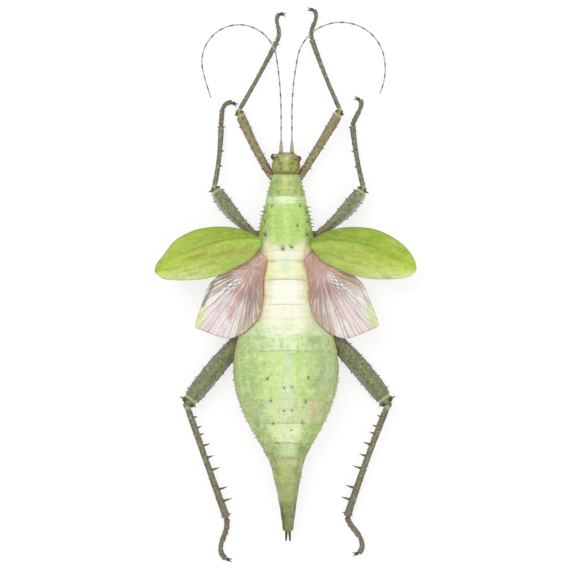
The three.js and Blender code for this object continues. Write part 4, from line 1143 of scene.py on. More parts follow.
def head_shape():
    """The head capsule with its crown, brows and pits, and a thorned nape."""
    ys, angle = np.meshgrid(np.linspace(HEAD_REAR, HEAD_FRONT, 110), circle(120), indexing="ij")
    face = np.sqrt(np.clip(1 - np.clip((ys - 51.5) / 1.02, 0, 1) ** 2, 0, 1))
    nape = 0.94 + 0.06 * smoothstep(ys, HEAD_REAR, HEAD_REAR + 0.7)
    plain = section(head_at, ys, angle, 0.0, nape)
    x, y = plain[..., 0], plain[..., 1]
    top = np.sin(angle) > -0.1
    relief = np.zeros_like(x)
    for bump_x, bump_y, radius, height in HEAD_BUMPS:
        relief += height * np.exp(-((np.abs(x) - bump_x) ** 2 + (y - bump_y) ** 2) / radius ** 2) * top
    for name in SIDES:
        away = np.linalg.norm(plain - EYE[name], axis=-1)
        relief += 0.28 * hump(away, EYE["radius"] + 0.25, 0.35) - 0.5 * hump(away, 0, 0.9)
    relief += lumps(plain, 1.5, 15) * 0.06 + lumps(plain, 0.8, 16) * 0.03
    points = section(head_at, ys, angle, relief, nape * np.maximum(face, 0.05))
    crown = np.clip(1 - np.hypot(x, y - CROWN["y"]) / CROWN["radius"], 0, 1) ** 0.9 * CROWN["height"] * top
    points[..., 1] -= crown * math.sin(CROWN["lean"])
    points[..., 2] += crown * math.cos(CROWN["lean"])

    shape = Shape()
    marks = {name: np.clip(blots(rows, x, y), 0, 1) * top for name, rows in HEAD_MARKS.items()}
    shape.rings(points, **marks)
    for foot_x, foot_y, foot_z, sideways, length in THORNS:
        for side in SIDES.values():
            foot, way = [side * foot_x, foot_y, foot_z - 0.1], [side * sideways, -0.4, 1]
            shape.spine(foot, way, length + 0.1, 0.3)
    for name, side in SIDES.items():
        root = [side * FEELER_BENDS[name]["x"], HEAD_FRONT - 0.5, FEELER["root_z"]]
        collar = np.linspace(0, 1, 10)
        centres = np.array(root) + collar[:, None] * [0, 0.75, 0]
        size = 0.95 + 0.12 * np.sin(collar * math.pi) - 0.2 * collar ** 3
        shape.rings(tube(centres, size, size, 24), line=0.25)
    return shape


def eye_shape(name):
    """A round compound eye that bulges out of its socket, with a highlight painted on one side of it."""
    shape = Shape()
    *toward, tight = EYE_PAINTED_GLEAM[name]

    def gleam(ways):
        return smoothstep(ways @ np.array(toward), tight, 0.97)

    shape.ball(EYE[name], np.array([1, 1.02, 0.98]) * EYE["radius"], rows=36, sides=48, gleam=gleam)
    return shape


def mouth_shape():
    """The upper lip, two jaws and two pairs of jointed palps under the brow."""
    shape = Shape()
    size, centre = np.array(MOUTH["size"]), np.array(MOUTH["centre"])
    shape.ball(centre + [0, 0.2, 0], size * [0.72, 0.86, 0.7], rows=24, sides=36, light=0.4)
    for side in SIDES.values():
        shape.ball(centre + [side * 1.25, -0.1, -0.1], size * [0.5, 0.85, 0.8], rows=24, sides=32, line=0.5)
        points = [np.array(p) * [side, 1, 1] for p in PALP["points"]]
        t = np.linspace(0, 1, 48)
        joints = 1 - 0.28 * hump((t * 4) % 1, 0, 0.12) - 0.28 * hump((t * 4) % 1, 1, 0.12)
        radius = PALP["radius"] * joints * rounded(t, 4, 0.4)
        shape.rings(tube(curve(points, 48), radius, radius, 16), light=0.3)
        inner = [np.array(p) * [side * 0.5, 1, 1] - [0, 0.5, 0] for p in PALP["points"]]
        shape.rings(tube(curve(inner, 48), radius * 0.75, radius * 0.75, 16), light=0.2)
    return shape


# ---- Feelers ----------------------------------------------------------------------------------

def feeler_shape(name, side):
    """One whole feeler: a stout scape, a short bead, and a long thread of many joints."""
    bends = np.array(FEELER_BENDS[name]["bends"], float)
    length, steps = bends[-1, 0], 900
    spot = (np.arange(steps) + 0.5) / steps * length
    heading = np.radians(np.interp(spot, bends[:, 0], bends[:, 1]))
    ways = np.stack([side * np.sin(heading), np.cos(heading)], -1) * length / steps
    start = [side * FEELER_BENDS[name]["x"], HEAD_FRONT + 0.1]
    plan = np.concatenate([[start], start + np.cumsum(ways, 0)])
    t = np.linspace(0, 1, steps + 1)
    centres = np.column_stack([plan, mix(FEELER["root_z"], FEELER["tip_z"], t)])
    far = t * length
    beyond = smoothstep(far / FEELER["scape"], 0.4, 1.3)
    thick = mix(FEELER["scape_radius"], FEELER["radius"], beyond)
    for place, depth in FEELER["waists"]:
        thick = thick - depth * hump(far, place, 0.22)
    joint = far / FEELER["joint"]
    thread = smoothstep(far, 6, 8)
    thick = thick * (1 + 0.14 * thread * hump(joint % 1, 0.92, 0.12) - 0.08 * smoothstep(t, 0.5, 1))
    thick = thick * rounded(t, length, 0.3)
    draw = np.random.default_rng(21 + side)
    every_third = (joint.astype(int) % 3 == 0) * draw.uniform(0.6, 1.0, 96)[joint.astype(int) % 96]
    band = thread * np.clip(every_third + 0.35 * hump(joint % 1, 0.95, 0.12), 0, 1)
    thick = thick * (1 + 0.12 * band)
    shape = Shape()
    shape.rings(tube(centres, thick, thick, 10), band=band[:, None], scape=(1 - thread)[:, None])
    return shape


# ---- Legs -------------------------------------------------------------------------------------

def bowed(start, end, bow, count):
    """A piece of limb between two joints that bows away from the body's middle line."""
    outwards = unit(np.array([end[1] - start[1], start[0] - end[0], 0]))
    outwards = outwards * (1 if outwards[0] * start[0] >= 0 else -1)
    return curve([start, (start + end) / 2 + outwards * 2 * bow, end], count)


def limb_frames(centres):
    """For each point of a limb, the way ahead and the way across to the body's outer side."""
    ahead = unit(np.gradient(centres, axis=0))
    out = unit(np.cross(ahead, UP))
    flip = np.where(out[:, 0] * centres[:, 0] < 0, -1, 1)[:, None]
    return ahead, out * flip


def edge_spine(shape, centres, widths, share, edge, length, lean, rise=0.0, bend=0.0, thick=0.2, **values):
    """A spine on a limb's outer (1) or inner (-1) edge, at a share of its length."""
    at = int(round(share * (len(centres) - 1)))
    ahead, out = (ways[at] for ways in limb_frames(centres))
    base = centres[at] + edge * out * widths[at] * 0.88 + UP * rise
    way = edge * out + ahead * lean + UP * rise * 0.3
    if "thorn" in values:
        values["tip"] = 0.0
    shape.spine(base, way, length + widths[at] * 0.1, thick + 0.07 * length, ahead * bend, **values)


def leg_joints(leg, pose, side):
    """A leg's socket, hip, knee and ankle on one side."""
    points = [leg["socket"], leg["hip"], pose["knee"], [*pose["ankle"], leg["ankle_z"]]]
    return [np.array([side * x, y, z], float) for x, y, z in points]


OVERLAP = 0.8  # how far a limb's piece starts inside the one before it, in millimetres


def started_back(start, end, reach=OVERLAP):
    """A start moved back into the piece before."""
    return start - unit(end - start) * reach


def coxa_shape(leg, pose, side):
    """The short stout coxa, and the ring-like trochanter that joins it to the femur."""
    socket, hip, *_ = leg_joints(leg, pose, side)
    shape = Shape()
    t = np.linspace(0, 1, 40)
    centres = bowed(socket, started_back(hip, socket, 0.5), 0, 40)
    radius = smooth_rows(COXA_SHAPE)(t)[:, 0] * leg["coxa"] * rounded(t, np.linalg.norm(hip - socket), 1)
    bumps = lumps(tube(centres, radius, radius, 32), 1.6, 17) * 0.07
    shape.rings(tube(centres, radius, radius, 32, bumps), rim=0.2)
    return shape


def femur_shape(leg, pose, side, seed):
    """The thick ridged thigh, with rows of dark spines, a pale ring and dark lobes at the knee."""
    _, hip, knee, _ = leg_joints(leg, pose, side)
    rows, around = 130, 40
    t = np.linspace(0, 1, rows)
    centres = bowed(started_back(hip, knee), knee, pose["bow"], rows)
    length = np.linalg.norm(knee - hip)
    share = smooth_rows(leg["femur_shape"])(t)[:, 0] * rounded(t, length, 0.5)
    lobes = 0.1 * hump(t, 0.965, 0.02) - 0.12 * hump(t, 0.935, 0.012)
    widths, heights = (share * (1 + lobes) * size for size in leg["femur"])
    angle = circle(around)
    keels = 0.055 * np.cos(5 * (angle - TAU / 4))[None, :] * widths[:, None]
    plain = tube(centres, widths, heights, around)
    relief = keels + lumps(plain, 1.7, seed) * 0.07 + lumps(plain, 0.8, seed + 1) * 0.04
    ring = hump(t, 0.935, 0.36 / length)[:, None] * 0.9
    knee_dark = smoothstep(t, 0.95, 0.965)[:, None] * smoothstep(np.abs(np.cos(angle)), 0.25, 0.5)[None, :]
    crest = hump(np.cos(angle), 0, 0.45)[None, :] * smoothstep(t, 0.08, 0.4)[:, None]
    rim = smoothstep(np.abs(np.cos(angle)), 0.72, 0.94)[None, :] * np.ones((rows, 1))
    root = 1 - smoothstep(t, 0.1, 0.3)[:, None]
    ahead, out = limb_frames(centres)
    outer = np.sign((np.cross(ahead, UP) * out).sum(-1))[:, None] * np.cos(angle)
    fringe = smoothstep(outer * np.sign(leg["pale_edge"]), 0.5, 0.85) * smoothstep(t, 0.15, 0.4)[:, None]
    fringe *= abs(leg["pale_edge"])
    shape = Shape()
    shape.rings(tube(centres, widths, heights, around, relief),
                ring=ring, knee=knee_dark, crest=crest, rim=rim, fringe=fringe, hip=root)
    draw = np.random.default_rng(seed)
    for edge, places in leg["spines"].items():
        for place in places:
            edge_spine(shape, centres, widths, place, edge, leg["spine_length"], 0.4)
        for i in range(FEMUR_THORNS):
            place = mix(0.08, 0.92, (i + draw.uniform(0.1, 0.9)) / FEMUR_THORNS)
            reach = draw.uniform(0.25, 0.5) * leg["femur"][0] ** 0.5
            rise, bare = draw.uniform(-0.2, 0.9), draw.uniform(0.3, 1)
            edge_spine(shape, centres, widths, place, edge, reach, 0.5, rise, thick=0.16, thorn=bare)
    edge_spine(shape, centres, widths, KNEE_TOOTH, 1, leg["knee_tooth"], 0.2, thick=0.35)
    edge_spine(shape, centres, widths, KNEE_TOOTH - 0.01, -1, leg["knee_tooth"] * 0.6, 0.4, thick=0.3)
    return shape


def tibia_shape(leg, pose, side, seed):
    """The slender shin, keeled, with its long teeth on the inner edge and a spur at the ankle."""
    _, _, knee, ankle = leg_joints(leg, pose, side)
    rows, around = 150, 32
    t = np.linspace(0, 1, rows)
    centres = bowed(started_back(knee, ankle, 1.3), ankle, pose["shin_bow"], rows)
    length = np.linalg.norm(ankle - knee)
    radius = smooth_rows(TIBIA_SHAPE)(t)[:, 0] * leg["tibia"] * rounded(t, length, 0.5)
    radius = radius * (1 + 0.16 * hump(t, 0.03, 0.02) - 0.1 * hump(t, 0.075, 0.02))
    angle = circle(around)
    keels = 0.06 * np.cos(4 * (angle - TAU / 8))[None, :] * radius[:, None]
    plain = tube(centres, radius, radius, around)
    relief = keels + lumps(plain, 1.5, seed) * 0.04 + lumps(plain, 0.7, seed + 1) * 0.03
    shape = Shape()
    shape.rings(
        tube(centres, radius, radius, around, relief),
        ring=hump(t, 0.05, 0.8 / length)[:, None] * 0.6,
        knee=hump(t, 0.0, 0.7 / length)[:, None] * 0.6,
        crest=hump(np.cos(angle), 0, 0.4)[None, :] * np.ones((rows, 1)),
        rim=smoothstep(np.abs(np.cos(angle)), 0.8, 0.97)[None, :] * np.ones((rows, 1)),
    )
    for place, reach in leg["teeth"]:
        edge_spine(shape, centres, radius, place, -1, reach, 0.1, bend=-0.08, thick=0.33)
    edge_spine(shape, centres, radius, SPUR, -1, leg["spur"], 0.3, thick=0.3)
    edge_spine(shape, centres, radius, SPUR, 1, leg["spur"] * 0.6, 0.3, thick=0.3)
    draw = np.random.default_rng(seed + 5)
    for i in range(TIBIA_THORNS):
        place = mix(0.06, 0.94, (i + draw.uniform(0.2, 0.8)) / TIBIA_THORNS)
        edge = draw.choice([-1, 1])
        edge_spine(shape, centres, radius, place, edge, draw.uniform(0.12, 0.4), 0.5, thick=0.15, thorn=0.6)
    return shape


def foot_line(leg, pose, side, rows):
    """The foot's middle line: it swings through its turns while it comes down to the floor."""
    *_, ankle = leg_joints(leg, pose, side)
    turns, length, radius = pose["turns"], pose["foot_length"], leg["foot"]
    steps = rows - 1
    spot = (np.arange(steps) + 0.5) / steps * (len(turns) - 1)
    heading = np.radians(np.interp(spot, np.arange(len(turns)), turns))
    ways = np.stack([side * np.cos(heading), np.sin(heading)], -1) * length / steps
    plan = np.concatenate([[ankle[:2]], ankle[:2] + np.cumsum(ways, 0)])
    rest = radius * FOOT_REST
    high = rest + (ankle[2] - rest) * FOOT_FALL ** (FOOT_STEPS * np.linspace(0, 1, rows))
    return np.column_stack([plan, high])


def foot_shape(leg, pose, side, seed):
    """The foot: four short joints with soft dark pads, then one long joint."""
    rows, around = 150, 32
    centres = foot_line(leg, pose, side, rows)
    centres = np.concatenate([started_back(centres[:1], centres[4:5], 0.6), centres[1:]])
    t = np.linspace(0, 1, rows)
    toe = t * TOES / TOES_END
    pad = 0.84 + 0.16 * np.abs(np.sin(math.pi * toe))
    share = np.where(t < TOES_END, pad, mix(0.78, 1.02, (t - TOES_END) / (1 - TOES_END)))
    radius = leg["foot"] * share * rounded(t, pose["foot_length"], 0.7)
    angle = circle(around)
    forward = np.sign(math.sin(math.radians(pose["turns"][0])))
    pads_at = -PAD_TURN if side * pose["pads"] * forward > 0 else math.pi + PAD_TURN
    off = np.abs((angle - pads_at + math.pi) % TAU - math.pi)[None, :]
    last_bead = 0.9 * smoothstep(t, 0.85, 0.97)
    bead = np.where(t < TOES_END, np.abs(np.sin(math.pi * toe)) ** 0.7, last_bead)[:, None]
    pads = bead * np.exp(-((off / 0.75) ** 2))
    plain = tube(centres, radius, radius, around)
    relief = 0.12 * pads * (1 - smoothstep(t, 0.8, 0.9)[:, None]) + lumps(plain, 0.9, seed) * 0.03
    points = tube(centres, radius, radius, around, relief)
    points[..., 2] = np.maximum(points[..., 2], 0)
    groove = np.where(t < TOES_END + 0.03, 1 - np.abs(np.sin(math.pi * toe)), 0) ** 6
    shape = Shape()
    shape.rings(points, knee=np.clip(pads * 1.3 + 0.5 * groove[:, None], 0, 1),
                rim=0.3 * smoothstep(t, 0.6, 1)[:, None])
    return shape


def claws_shape(leg, pose, side):
    """Two hooked claws and the round sticky pad between them."""
    end = foot_line(leg, pose, side, FOOT_STEPS + 1)[-1]
    heading = math.radians(pose["claws"])
    flat = np.array([side * math.cos(heading), math.sin(heading), 0])
    centre = end + flat * (CLAW["pad"] * 0.75 + GAP)
    centre[2] = CLAW["pad"] + 0.1
    shape = Shape()
    shape.ball(centre - flat * 0.1, np.full(3, CLAW["pad"]) * [1.05, 1.05, 0.98], rows=20, sides=28, tip=0.45)
    for turn in (-1, 1):
        c, s = math.cos(math.radians(turn * CLAW["spread"])), math.sin(math.radians(turn * CLAW["spread"]))
        way = np.array([flat[0] * c - flat[1] * s, flat[0] * s + flat[1] * c, 0])
        tip = centre + way * CLAW["length"] - UP * CLAW["arch"]
        bend = centre + way * CLAW["length"] * 0.6 + UP * CLAW["arch"]
        t = np.linspace(0, 1, 24)
        size = CLAW["radius"] * 1.1 * (1 - 0.92 * t ** 1.6)
        shape.rings(tube(curve([centre, bend, tip], 24), size, size, 12), tip=t[:, None])
    return shape


# ---- Wings ------------------------------------------------------------------------------------

def wing_plan(wing, name, rows, columns):
    """The wing's middle layer as a grid, with shares along and across it and its reach each way."""
    t, v = np.linspace(0, 1, rows), np.linspace(-1, 1, columns)
    along, across = np.meshgrid((1 - np.cos(t * math.pi)) / 2, v, indexing="ij")
    slimming = wing[name]["slimmer"] * np.exp(-(((along - SLIMMING["at"]) / SLIMMING["spread"]) ** 2))
    ahead = smooth_rows(wing["ahead"])(along)[..., 0] - slimming
    behind = smooth_rows(wing["behind"])(along)[..., 0]
    reach = np.where(across > 0, ahead, behind)
    root, length = wing[name]["root"], wing[name]["length"]
    heading = math.radians(wing[name]["heading"])
    c, s = math.cos(heading), math.sin(heading)
    x = root[0] + c * along * length - s * reach * across
    y = root[1] + s * along * length + c * reach * across
    droop = across ** 2 * np.where(across > 0, wing["ahead_drop"], wing["behind_drop"])
    arch = wing["mid_rise"] * np.sin(math.pi * along) - wing["tip_drop"] * along ** 2
    free = wing["root_z"] + arch - droop * np.sin(math.pi * np.sqrt(along))
    middle = soft_max(free, back_height(x, y) + WING_OVER_BODY - WING_BLEND / 4, WING_BLEND)
    return np.stack([x, y, middle], -1), along, across, reach


def wing_shape(plan, side, thickness, relief, values):
    """A thin closed sheet round a wing's middle layer, with relief on its upper face."""
    edge = np.linspace(-1, 1, plan.shape[1])[None, :]
    half = thickness / 2 * (1 - 0.6 * np.abs(edge) ** 8)
    upper, under = plan + UP * (half + relief)[..., None], plan + UP * (relief * 0.7 - half)[..., None]
    ring = np.concatenate([upper, under[:, ::-1]], 1) * [side, 1, 1]
    shape = Shape()
    shape.rings(ring, **{key: np.concatenate([v, v[:, ::-1]], 1) for key, v in values.items()})
    return shape


def near_line(plan, start, end, width):
    """1 on a line across the wing's plan, falling away over about a width."""
    start, way = np.array(start), np.subtract(end, start)
    share = np.clip(((plan[..., :2] - start) @ way) / (way @ way), 0, 1)
    away = np.linalg.norm(plan[..., :2] - start - share[..., None] * way, axis=-1)
    return hump(away, 0, width)


def forewing_shape(name, side, wings):
    """A leathery forewing: one strong stem vein, branches to both margins, and a thick front edge."""
    plan, along, across, reach = wing_plan(FOREWING, name, 190, 100)
    far, off = along * FOREWING[name]["length"], across * reach
    stem_line = 0.44 - 0.14 * along ** 2
    stem = hump((across - stem_line) * reach, 0, 0.4) * (1 - 0.7 * smoothstep(along, 0.4, 0.8))
    vein = np.zeros_like(along)
    for i in range(6):
        start, end = 0.02 + 0.13 * i, 0.42 + 0.115 * i
        t = np.clip((along - start) / (end - start), 0, 1.4)
        for margin in (1, -1):
            line = stem_line + (margin - stem_line) * t ** 1.25
            grown = (t > 0) * hump((across - line) * reach, 0, 0.2)
            vein = np.maximum(vein, grown)
    from_edge = (1 - np.abs(across)) * reach
    rim = (1 - smoothstep(from_edge, 0.15, 0.7)) * np.where(across > 0, 1, 0.5)
    height = wings.vein_height / MM
    sheet = np.stack([far, off, 0 * far], -1)
    ripples = lumps(sheet * [0.5, 1, 0], 4.5, 25) * 0.12 * smoothstep(along, 0.05, 0.2)
    relief = height * (0.8 * vein + 1.6 * stem) + ripples + 0.1 * rim
    thickness = wings.fore_thickness / MM
    front_from, front_share = FRONT_FIELD[name]
    band_reach = span(along, 0.05, 0.15, 0.55, 0.8)
    values = {
        "along": along,
        "rearward": smoothstep(-across, -0.1, 0.5),
        "hem": smoothstep(-across, 0.4, 0.9) * smoothstep(along, 0.4, 0.85),
        # Where the front field lies; its darkness is partly painted shade of the downward slope.
        "front": smoothstep(off - stem_line * reach, front_from, 0.9) * front_share,
        "streak": 0.5 + 0.36 * lumps(sheet * [0.2, 1, 0], 2.0, 40 + side, 40),
        "band": (1 if side < 0 else 0.6) * hump(off, 0.19 * far - 3.4, 2.4) * band_reach,
        "fleck": (1 if side < 0 else 0.35) * hump(off, 0.19 * far - 3.2, 3.2) * hump(along, 0.45, 0.3),
        "vein": vein, "stem": stem, "rim": rim,
    }
    return wing_shape(plan, side, thickness, relief, values)


def hindwing_shape(name, side, wings):
    """A pleated hind wing: a fan of ribs from its root, with fine cross-veins between them."""
    plan, along, across, reach = wing_plan(HINDWING, name, 210, 170)
    draw = np.random.default_rng(50 + side)
    away = plan[..., :2] - FAN["centre"]
    far = np.hypot(*np.moveaxis(away, -1, 0))
    turn = -np.degrees(np.arctan2(away[..., 1], away[..., 0]))
    count = FAN["ribs"]
    ribs = -np.linspace(FAN["first"], FAN["last"], count) + draw.uniform(-1, 1, count) * FAN["stray"]
    strong = draw.uniform(0.35, 1.0, count)
    at = np.clip(np.searchsorted(ribs, turn), 1, count - 1)
    width = ribs[at] - ribs[at - 1]
    within = np.clip((turn - ribs[at - 1]) / width, 0, 1)
    fold = np.abs(within - 0.5) * 2
    open_fan = smoothstep(far, 4, 12) * (turn > ribs[0]) * (turn < ribs[-1])
    pleat = wings.pleat_depth / MM * (fold - 0.5) * np.clip(far / 30, 0, 1) * open_fan
    aside = np.radians(np.minimum(within, 1 - within) * width) * far
    shown = np.where(within < 0.5, strong[at - 1], strong[at]) * smoothstep(far, 3, 7)
    vein = hump(aside, 0, 0.17 + 0.1 * np.clip(1 - far / 25, 0, 1)) * shown * open_fan
    between_ribs = np.radians(np.abs(within - 0.5) * width) * far
    vein = np.maximum(vein, 0.3 * hump(between_ribs, 0, 0.13) * smoothstep(far, 12, 17) * open_fan)
    cracks = np.maximum(hump((far + 0.25 * turn) % 2.6, 1.3, 0.3), hump((far - 0.3 * turn) % 3.4, 1.7, 0.3))
    # Painted highlight: the white patch behind the front edge, with its cracks left dark.
    window = np.clip(1.5 * near_line(plan, *PAINTED_GLINT[name]), 0, 1)
    cross = hump((far / FAN["cross_veins"] + at * FAN["stagger"]) % 1, 0.5, 0.14) * smoothstep(far, 8, 14)
    from_edge = (1 - np.abs(across)) * reach
    outer = smoothstep(along, 0.5, 0.62)
    rim = (1 - smoothstep(from_edge, 0.15, 0.6)) * np.where(across > 0, 0.5, 0.3)
    spread = np.stack([np.radians(turn) * 26, far * 0.2, 0 * far], -1)
    # Painted highlight on the pleats: lit sets how much each rib's pleats take, and shaded lowers it beside
    # the body.
    lit = draw.uniform(0.25, 1.0, count)[at]
    shaded = 1 - 0.45 * smoothstep(turn, 62, 82)
    pale = (smoothstep(far, 8, 17) * mix(0.6, 1, lit) + 0.45 * smoothstep(far, 16, 23)) * shaded
    hem = (across < 0) * (1 - smoothstep(from_edge, 0.4, 2.0)) * outer * (1 - smoothstep(turn, 66, 76))
    inner = (across < 0) * (1 - smoothstep(from_edge, 0.8, 2.9)) * (1 - outer)
    front_beige = smoothstep(far, 11, 15) * (1 - smoothstep(turn, 30, 42)) * (1 - smoothstep(far, 16, 21))
    rosy = near_line(plan, *ROSY_STREAK) * (0.95 if side < 0 else 0.45)
    # Painted sheen along the ribs where this is high, and painted shade in the folds where it is low.
    silk = lumps(spread, 1.5, 44 + side, 40) * mix(1, 0.6, smoothstep(far, 14, 22))
    values = {
        "vein": vein, "net": cross, "pale": np.clip(pale, 0, 1), "window": window * (1 - 0.85 * cracks),
        "crack": cracks * window,
        "rim": np.clip(rim + near_line(plan, *DARK_EDGE) * (1 if side < 0 else 0.4), 0, 1),
        "silk": np.clip(0.5 + 0.34 * silk, 0, 1),
        "root": 1 - smoothstep(far, 7, 17),
        "costal": (1 - smoothstep(turn, 24, 32)) * (1 - 0.75 * smoothstep(far, 12, 19)),
        "beige": np.clip(front_beige + 0.9 * smoothstep(turn, 70, 79) * smoothstep(far, 16, 21), 0, 1),
        "grey": smoothstep(turn, 72, 88) * smoothstep(far, 3, 8) * (1 - 0.6 * smoothstep(far, 15, 23)),
        "blush": np.clip(rosy + 0.6 * hem + 0.4 * hump(turn, 56, 13) * smoothstep(far, 6, 12), 0, 1),
        "inner": inner * (0.7 + 0.3 * np.sin(far * 1.7)),
        "corner": near_line(plan, *CORNER),
    }
    relief = wings.vein_height / MM * 0.8 * vein + pleat + 0.02 * cross
    return wing_shape(plan, side, wings.hind_thickness / MM, relief, values)


# ---- Settings that a user would change --------------------------------------------------------

def tint(name, code, description):
    return FloatVectorProperty(
        name=name, description=description, subtype="COLOR", size=4, min=0, max=1, default=linear(code))


def size(name, millimetres, description):
    return FloatProperty(
        name=name, description=description, subtype="DISTANCE", unit="LENGTH", min=0, precision=5,
        default=millimetres * MM)


class SkinSettings(bpy.types.PropertyGroup):
    """Colours and relief of the trunk, tail and head."""

    stripe: tint("Middle stripe", "e2ecdc", "Pale stripe down the middle of the abdomen")
    cloud_green: tint("Green clouds", "98c878", "Cool green clouds of the trunk")
    cloud_pale: tint("Pale clouds", "f0f8d0", "Pale flecks of the trunk")
    cloud_yellow: tint("Yellow clouds", "d8ea8c", "Yellow green clouds of the trunk")
    cloud_deep: tint("Deep clouds", "86a24c", "Darker green flecks of the trunk")
    cloud_grey: tint("Grey clouds", "b9b0a2", "Brownish grey streaks of the right flank")
    mark_cream: tint("Cream marks", "faf6d0", "Cream patches between the wings")
    # Partly painted highlight: on the bare membrane these marks add highlight to its own pale colour.
    mark_light: tint("Light marks", "f0f7c8", "Pale ridges of the pronotum and membrane")
    mark_mint: tint("Mint marks", "c6e6c4", "Bluish green patches of the back")
    mark_olive: tint("Olive marks", "8f9258", "Olive patches of the thorax and flanks")
    mark_dark: tint("Dark marks", "445430", "Small dark marks and the spines' feet")
    mark_green: tint("Green marks", "94cc58", "Patches where the green stays fresh")
    mark_rust: tint("Rusty marks", "dcaa76", "Orange brown patches and joints")
    mark_lilac: tint("Lilac marks", "c3bfbd", "Cool grey marks of the thorax")
    # Its colour is also painted shade in the troughs of the bare membrane's creases.
    seam: tint("Seams", "7f7a48", "Brown lines between plates")
    edge: tint("Side edges", "c0aa74", "Tan line along the abdomen's side edges")
    head: tint("Head", "9a9e52", "Olive green of the head")
    spine: tint("Spine tips", "2f3a20", "Dark tips of the trunk's spines")
    plate_step: size("Plate step", PLATE_STEP, "How far a plate stands over the next one")


class LimbSettings(bpy.types.PropertyGroup):
    """Colours of the legs and feelers."""

    front_thigh: tint("Front femur", "a68c6a", "Brown of the front femora")
    front_crest: tint("Front crest", "93964e", "Olive green along the top of a front femur")
    front_hip: tint("Front hip", "bab6a2", "Pale grey of the front coxae")
    hip: tint("Femur roots", "a58d68", "Warm brown of the femora close to the body")
    middle_thigh: tint("Middle femur", "878f76", "Grey green of the middle femora")
    middle_crest: tint("Middle crest", "7f8c56", "Leaf green along their top")
    thigh: tint("Hind femur", "807e60", "Grey brown green of the hind femora")
    thigh_crest: tint("Hind crest", "7b8748", "Olive green along their top")
    thigh_edge: tint("Femur edges", "83847c", "Cool grey of a femur's toothed edges")
    fringe: tint("Pale edge", "c4c5bc", "Pale grey green of the thin edge of a femur")
    shin: tint("Tibia", "6c684e", "Grey brown of the tibiae")
    shin_crest: tint("Tibia crest", "807d5c", "Paler stripe along the top of a tibia")
    shin_edge: tint("Tibia edges", "5c5643", "Dark brown of a tibia's edges")
    foot: tint("Foot", "776c56", "Grey brown of the feet")
    brown: tint("Brown patches", "8a6f50", "Brown patches of the legs")
    shade: tint("Shade", "535040", "Dark flecks of the legs")
    green_shade: tint("Green shade", "4b5830", "Dark green flecks of the middle and hind femora")
    speckle: tint("Speckles", "bec1a6", "Pale speckles of the legs")
    thorn: tint("Thorns", "77776c", "Grey of the legs' small thorns")
    ring: tint("Knee ring", "c8cf98", "Pale ring before each knee")
    knee: tint("Knee lobes", "43431f", "Dark olive lobes of the knee and pads of the foot")
    tooth: tint("Teeth", "50544c", "Grey of the legs' spines")
    feeler: tint("Feeler", "b9b6ae", "Light grey of a feeler's thread")
    feeler_joint: tint("Feeler joints", "4c4a48", "Dark grey of its rings")


class WingSettings(bpy.types.PropertyGroup):
    """Colours, thickness and veins of the wings."""

    # The front field's colours: its own deep green, darkened partly with painted shade of its slope.
    front_root: tint("Front field, root", "6a8608", "Deep green of the field ahead of the stem vein")
    front_tip: tint("Front field, tip", "b3cf44", "Its colour near the tip")
    middle_root: tint("Middle field, root", "aeca52", "Green of the field behind the stem vein")
    middle_tip: tint("Middle field, tip", "c2d254", "Its colour near the tip")
    rear_root: tint("Rear field, root", "a6bc54", "Green of the rear field")
    rear_tip: tint("Rear field, tip", "d8e486", "Yellow green of its tip")
    hem: tint("Rear hem", "e8f0b4", "Pale yellow green of the rear edge near the tip")
    band: tint("Olive band", "a2a84a", "Olive band that crosses the wing from its root to its front edge")
    streak_dark: tint("Dark streaks", "7fa226", "Deeper green streaks along the veins")
    streak_light: tint("Light streaks", "c4de5a", "Yellow streaks along the veins")
    stem: tint("Stem vein", "75882a", "Deep green of the stem vein")
    fleck: tint("Flecks", "b8923c", "Orange brown flecks of the middle field")
    edge: tint("Front edge", "7e8a5c", "Grey green of the edges")
    membrane: tint("Membrane", "e4cdbf", "Pink beige of the hind wing")
    pleat: tint("Pleats", "fffdfa", "Near white of the pleats that catch the light")
    silk: tint("Silk", "f8f0ea", "White sheen along the ribs")
    fold: tint("Folds", "ab8577", "Mauve brown shade in the folds")
    root: tint("Root", "bd9488", "Pinkish brown of the hind wing's root")
    costal: tint("Front strip", "cca78f", "Pinkish brown strip behind the forewing")
    beige: tint("Outer strip", "d8c6a8", "Beige of the front edge's outer part")
    grey: tint("Inner field", "b39485", "Grey brown of the field beside the body")
    blush: tint("Blush", "dc8c92", "Rose of the streak and the hem")
    inner: tint("Inner edge", "c08a74", "Reddish brown of the edge beside the body")
    corner: tint("Corner", "d6e486", "Yellow green of the outer corner")
    margin: tint("Margin", "6a6049", "Dark brown of the outer edge")
    vein: tint("Veins", "5f544f", "Grey of the hind wing's ribs")
    fore_thickness: size("Forewing thickness", 0.34, "Thickness of the leathery forewing")
    hind_thickness: size("Hind wing thickness", 0.2, "Thickness of the membrane")
    vein_height: size("Vein height", 0.09, "How far a vein stands up")
    pleat_depth: size("Pleat depth", 0.55, "How deep the hind wing's pleats are at its edge")


class StageSettings(bpy.types.PropertyGroup):
    """Camera, floor and light."""

    frame_width: size("Frame width", 227.2, "Width that the camera sees at the specimen's height")
    lens: FloatProperty(name="Lens", description="Focal length", default=400, min=50, max=600, unit="CAMERA")
    key_power: FloatProperty(name="Key light", description="Power of the big soft lamp", default=10.4, min=0)
    fill_power: FloatProperty(name="Fill light", description="Power of the lamp opposite", default=4.7, min=0)
    sky: FloatProperty(name="Sky", description="Strength of the even light all round", default=0.64, min=0)


GROUPS = {"nymph_skin": SkinSettings, "nymph_limbs": LimbSettings, "nymph_wings": WingSettings,
          "nymph_stage": StageSettings}

# ---- Operators: one for each piece or group of like pieces ------------------------------------


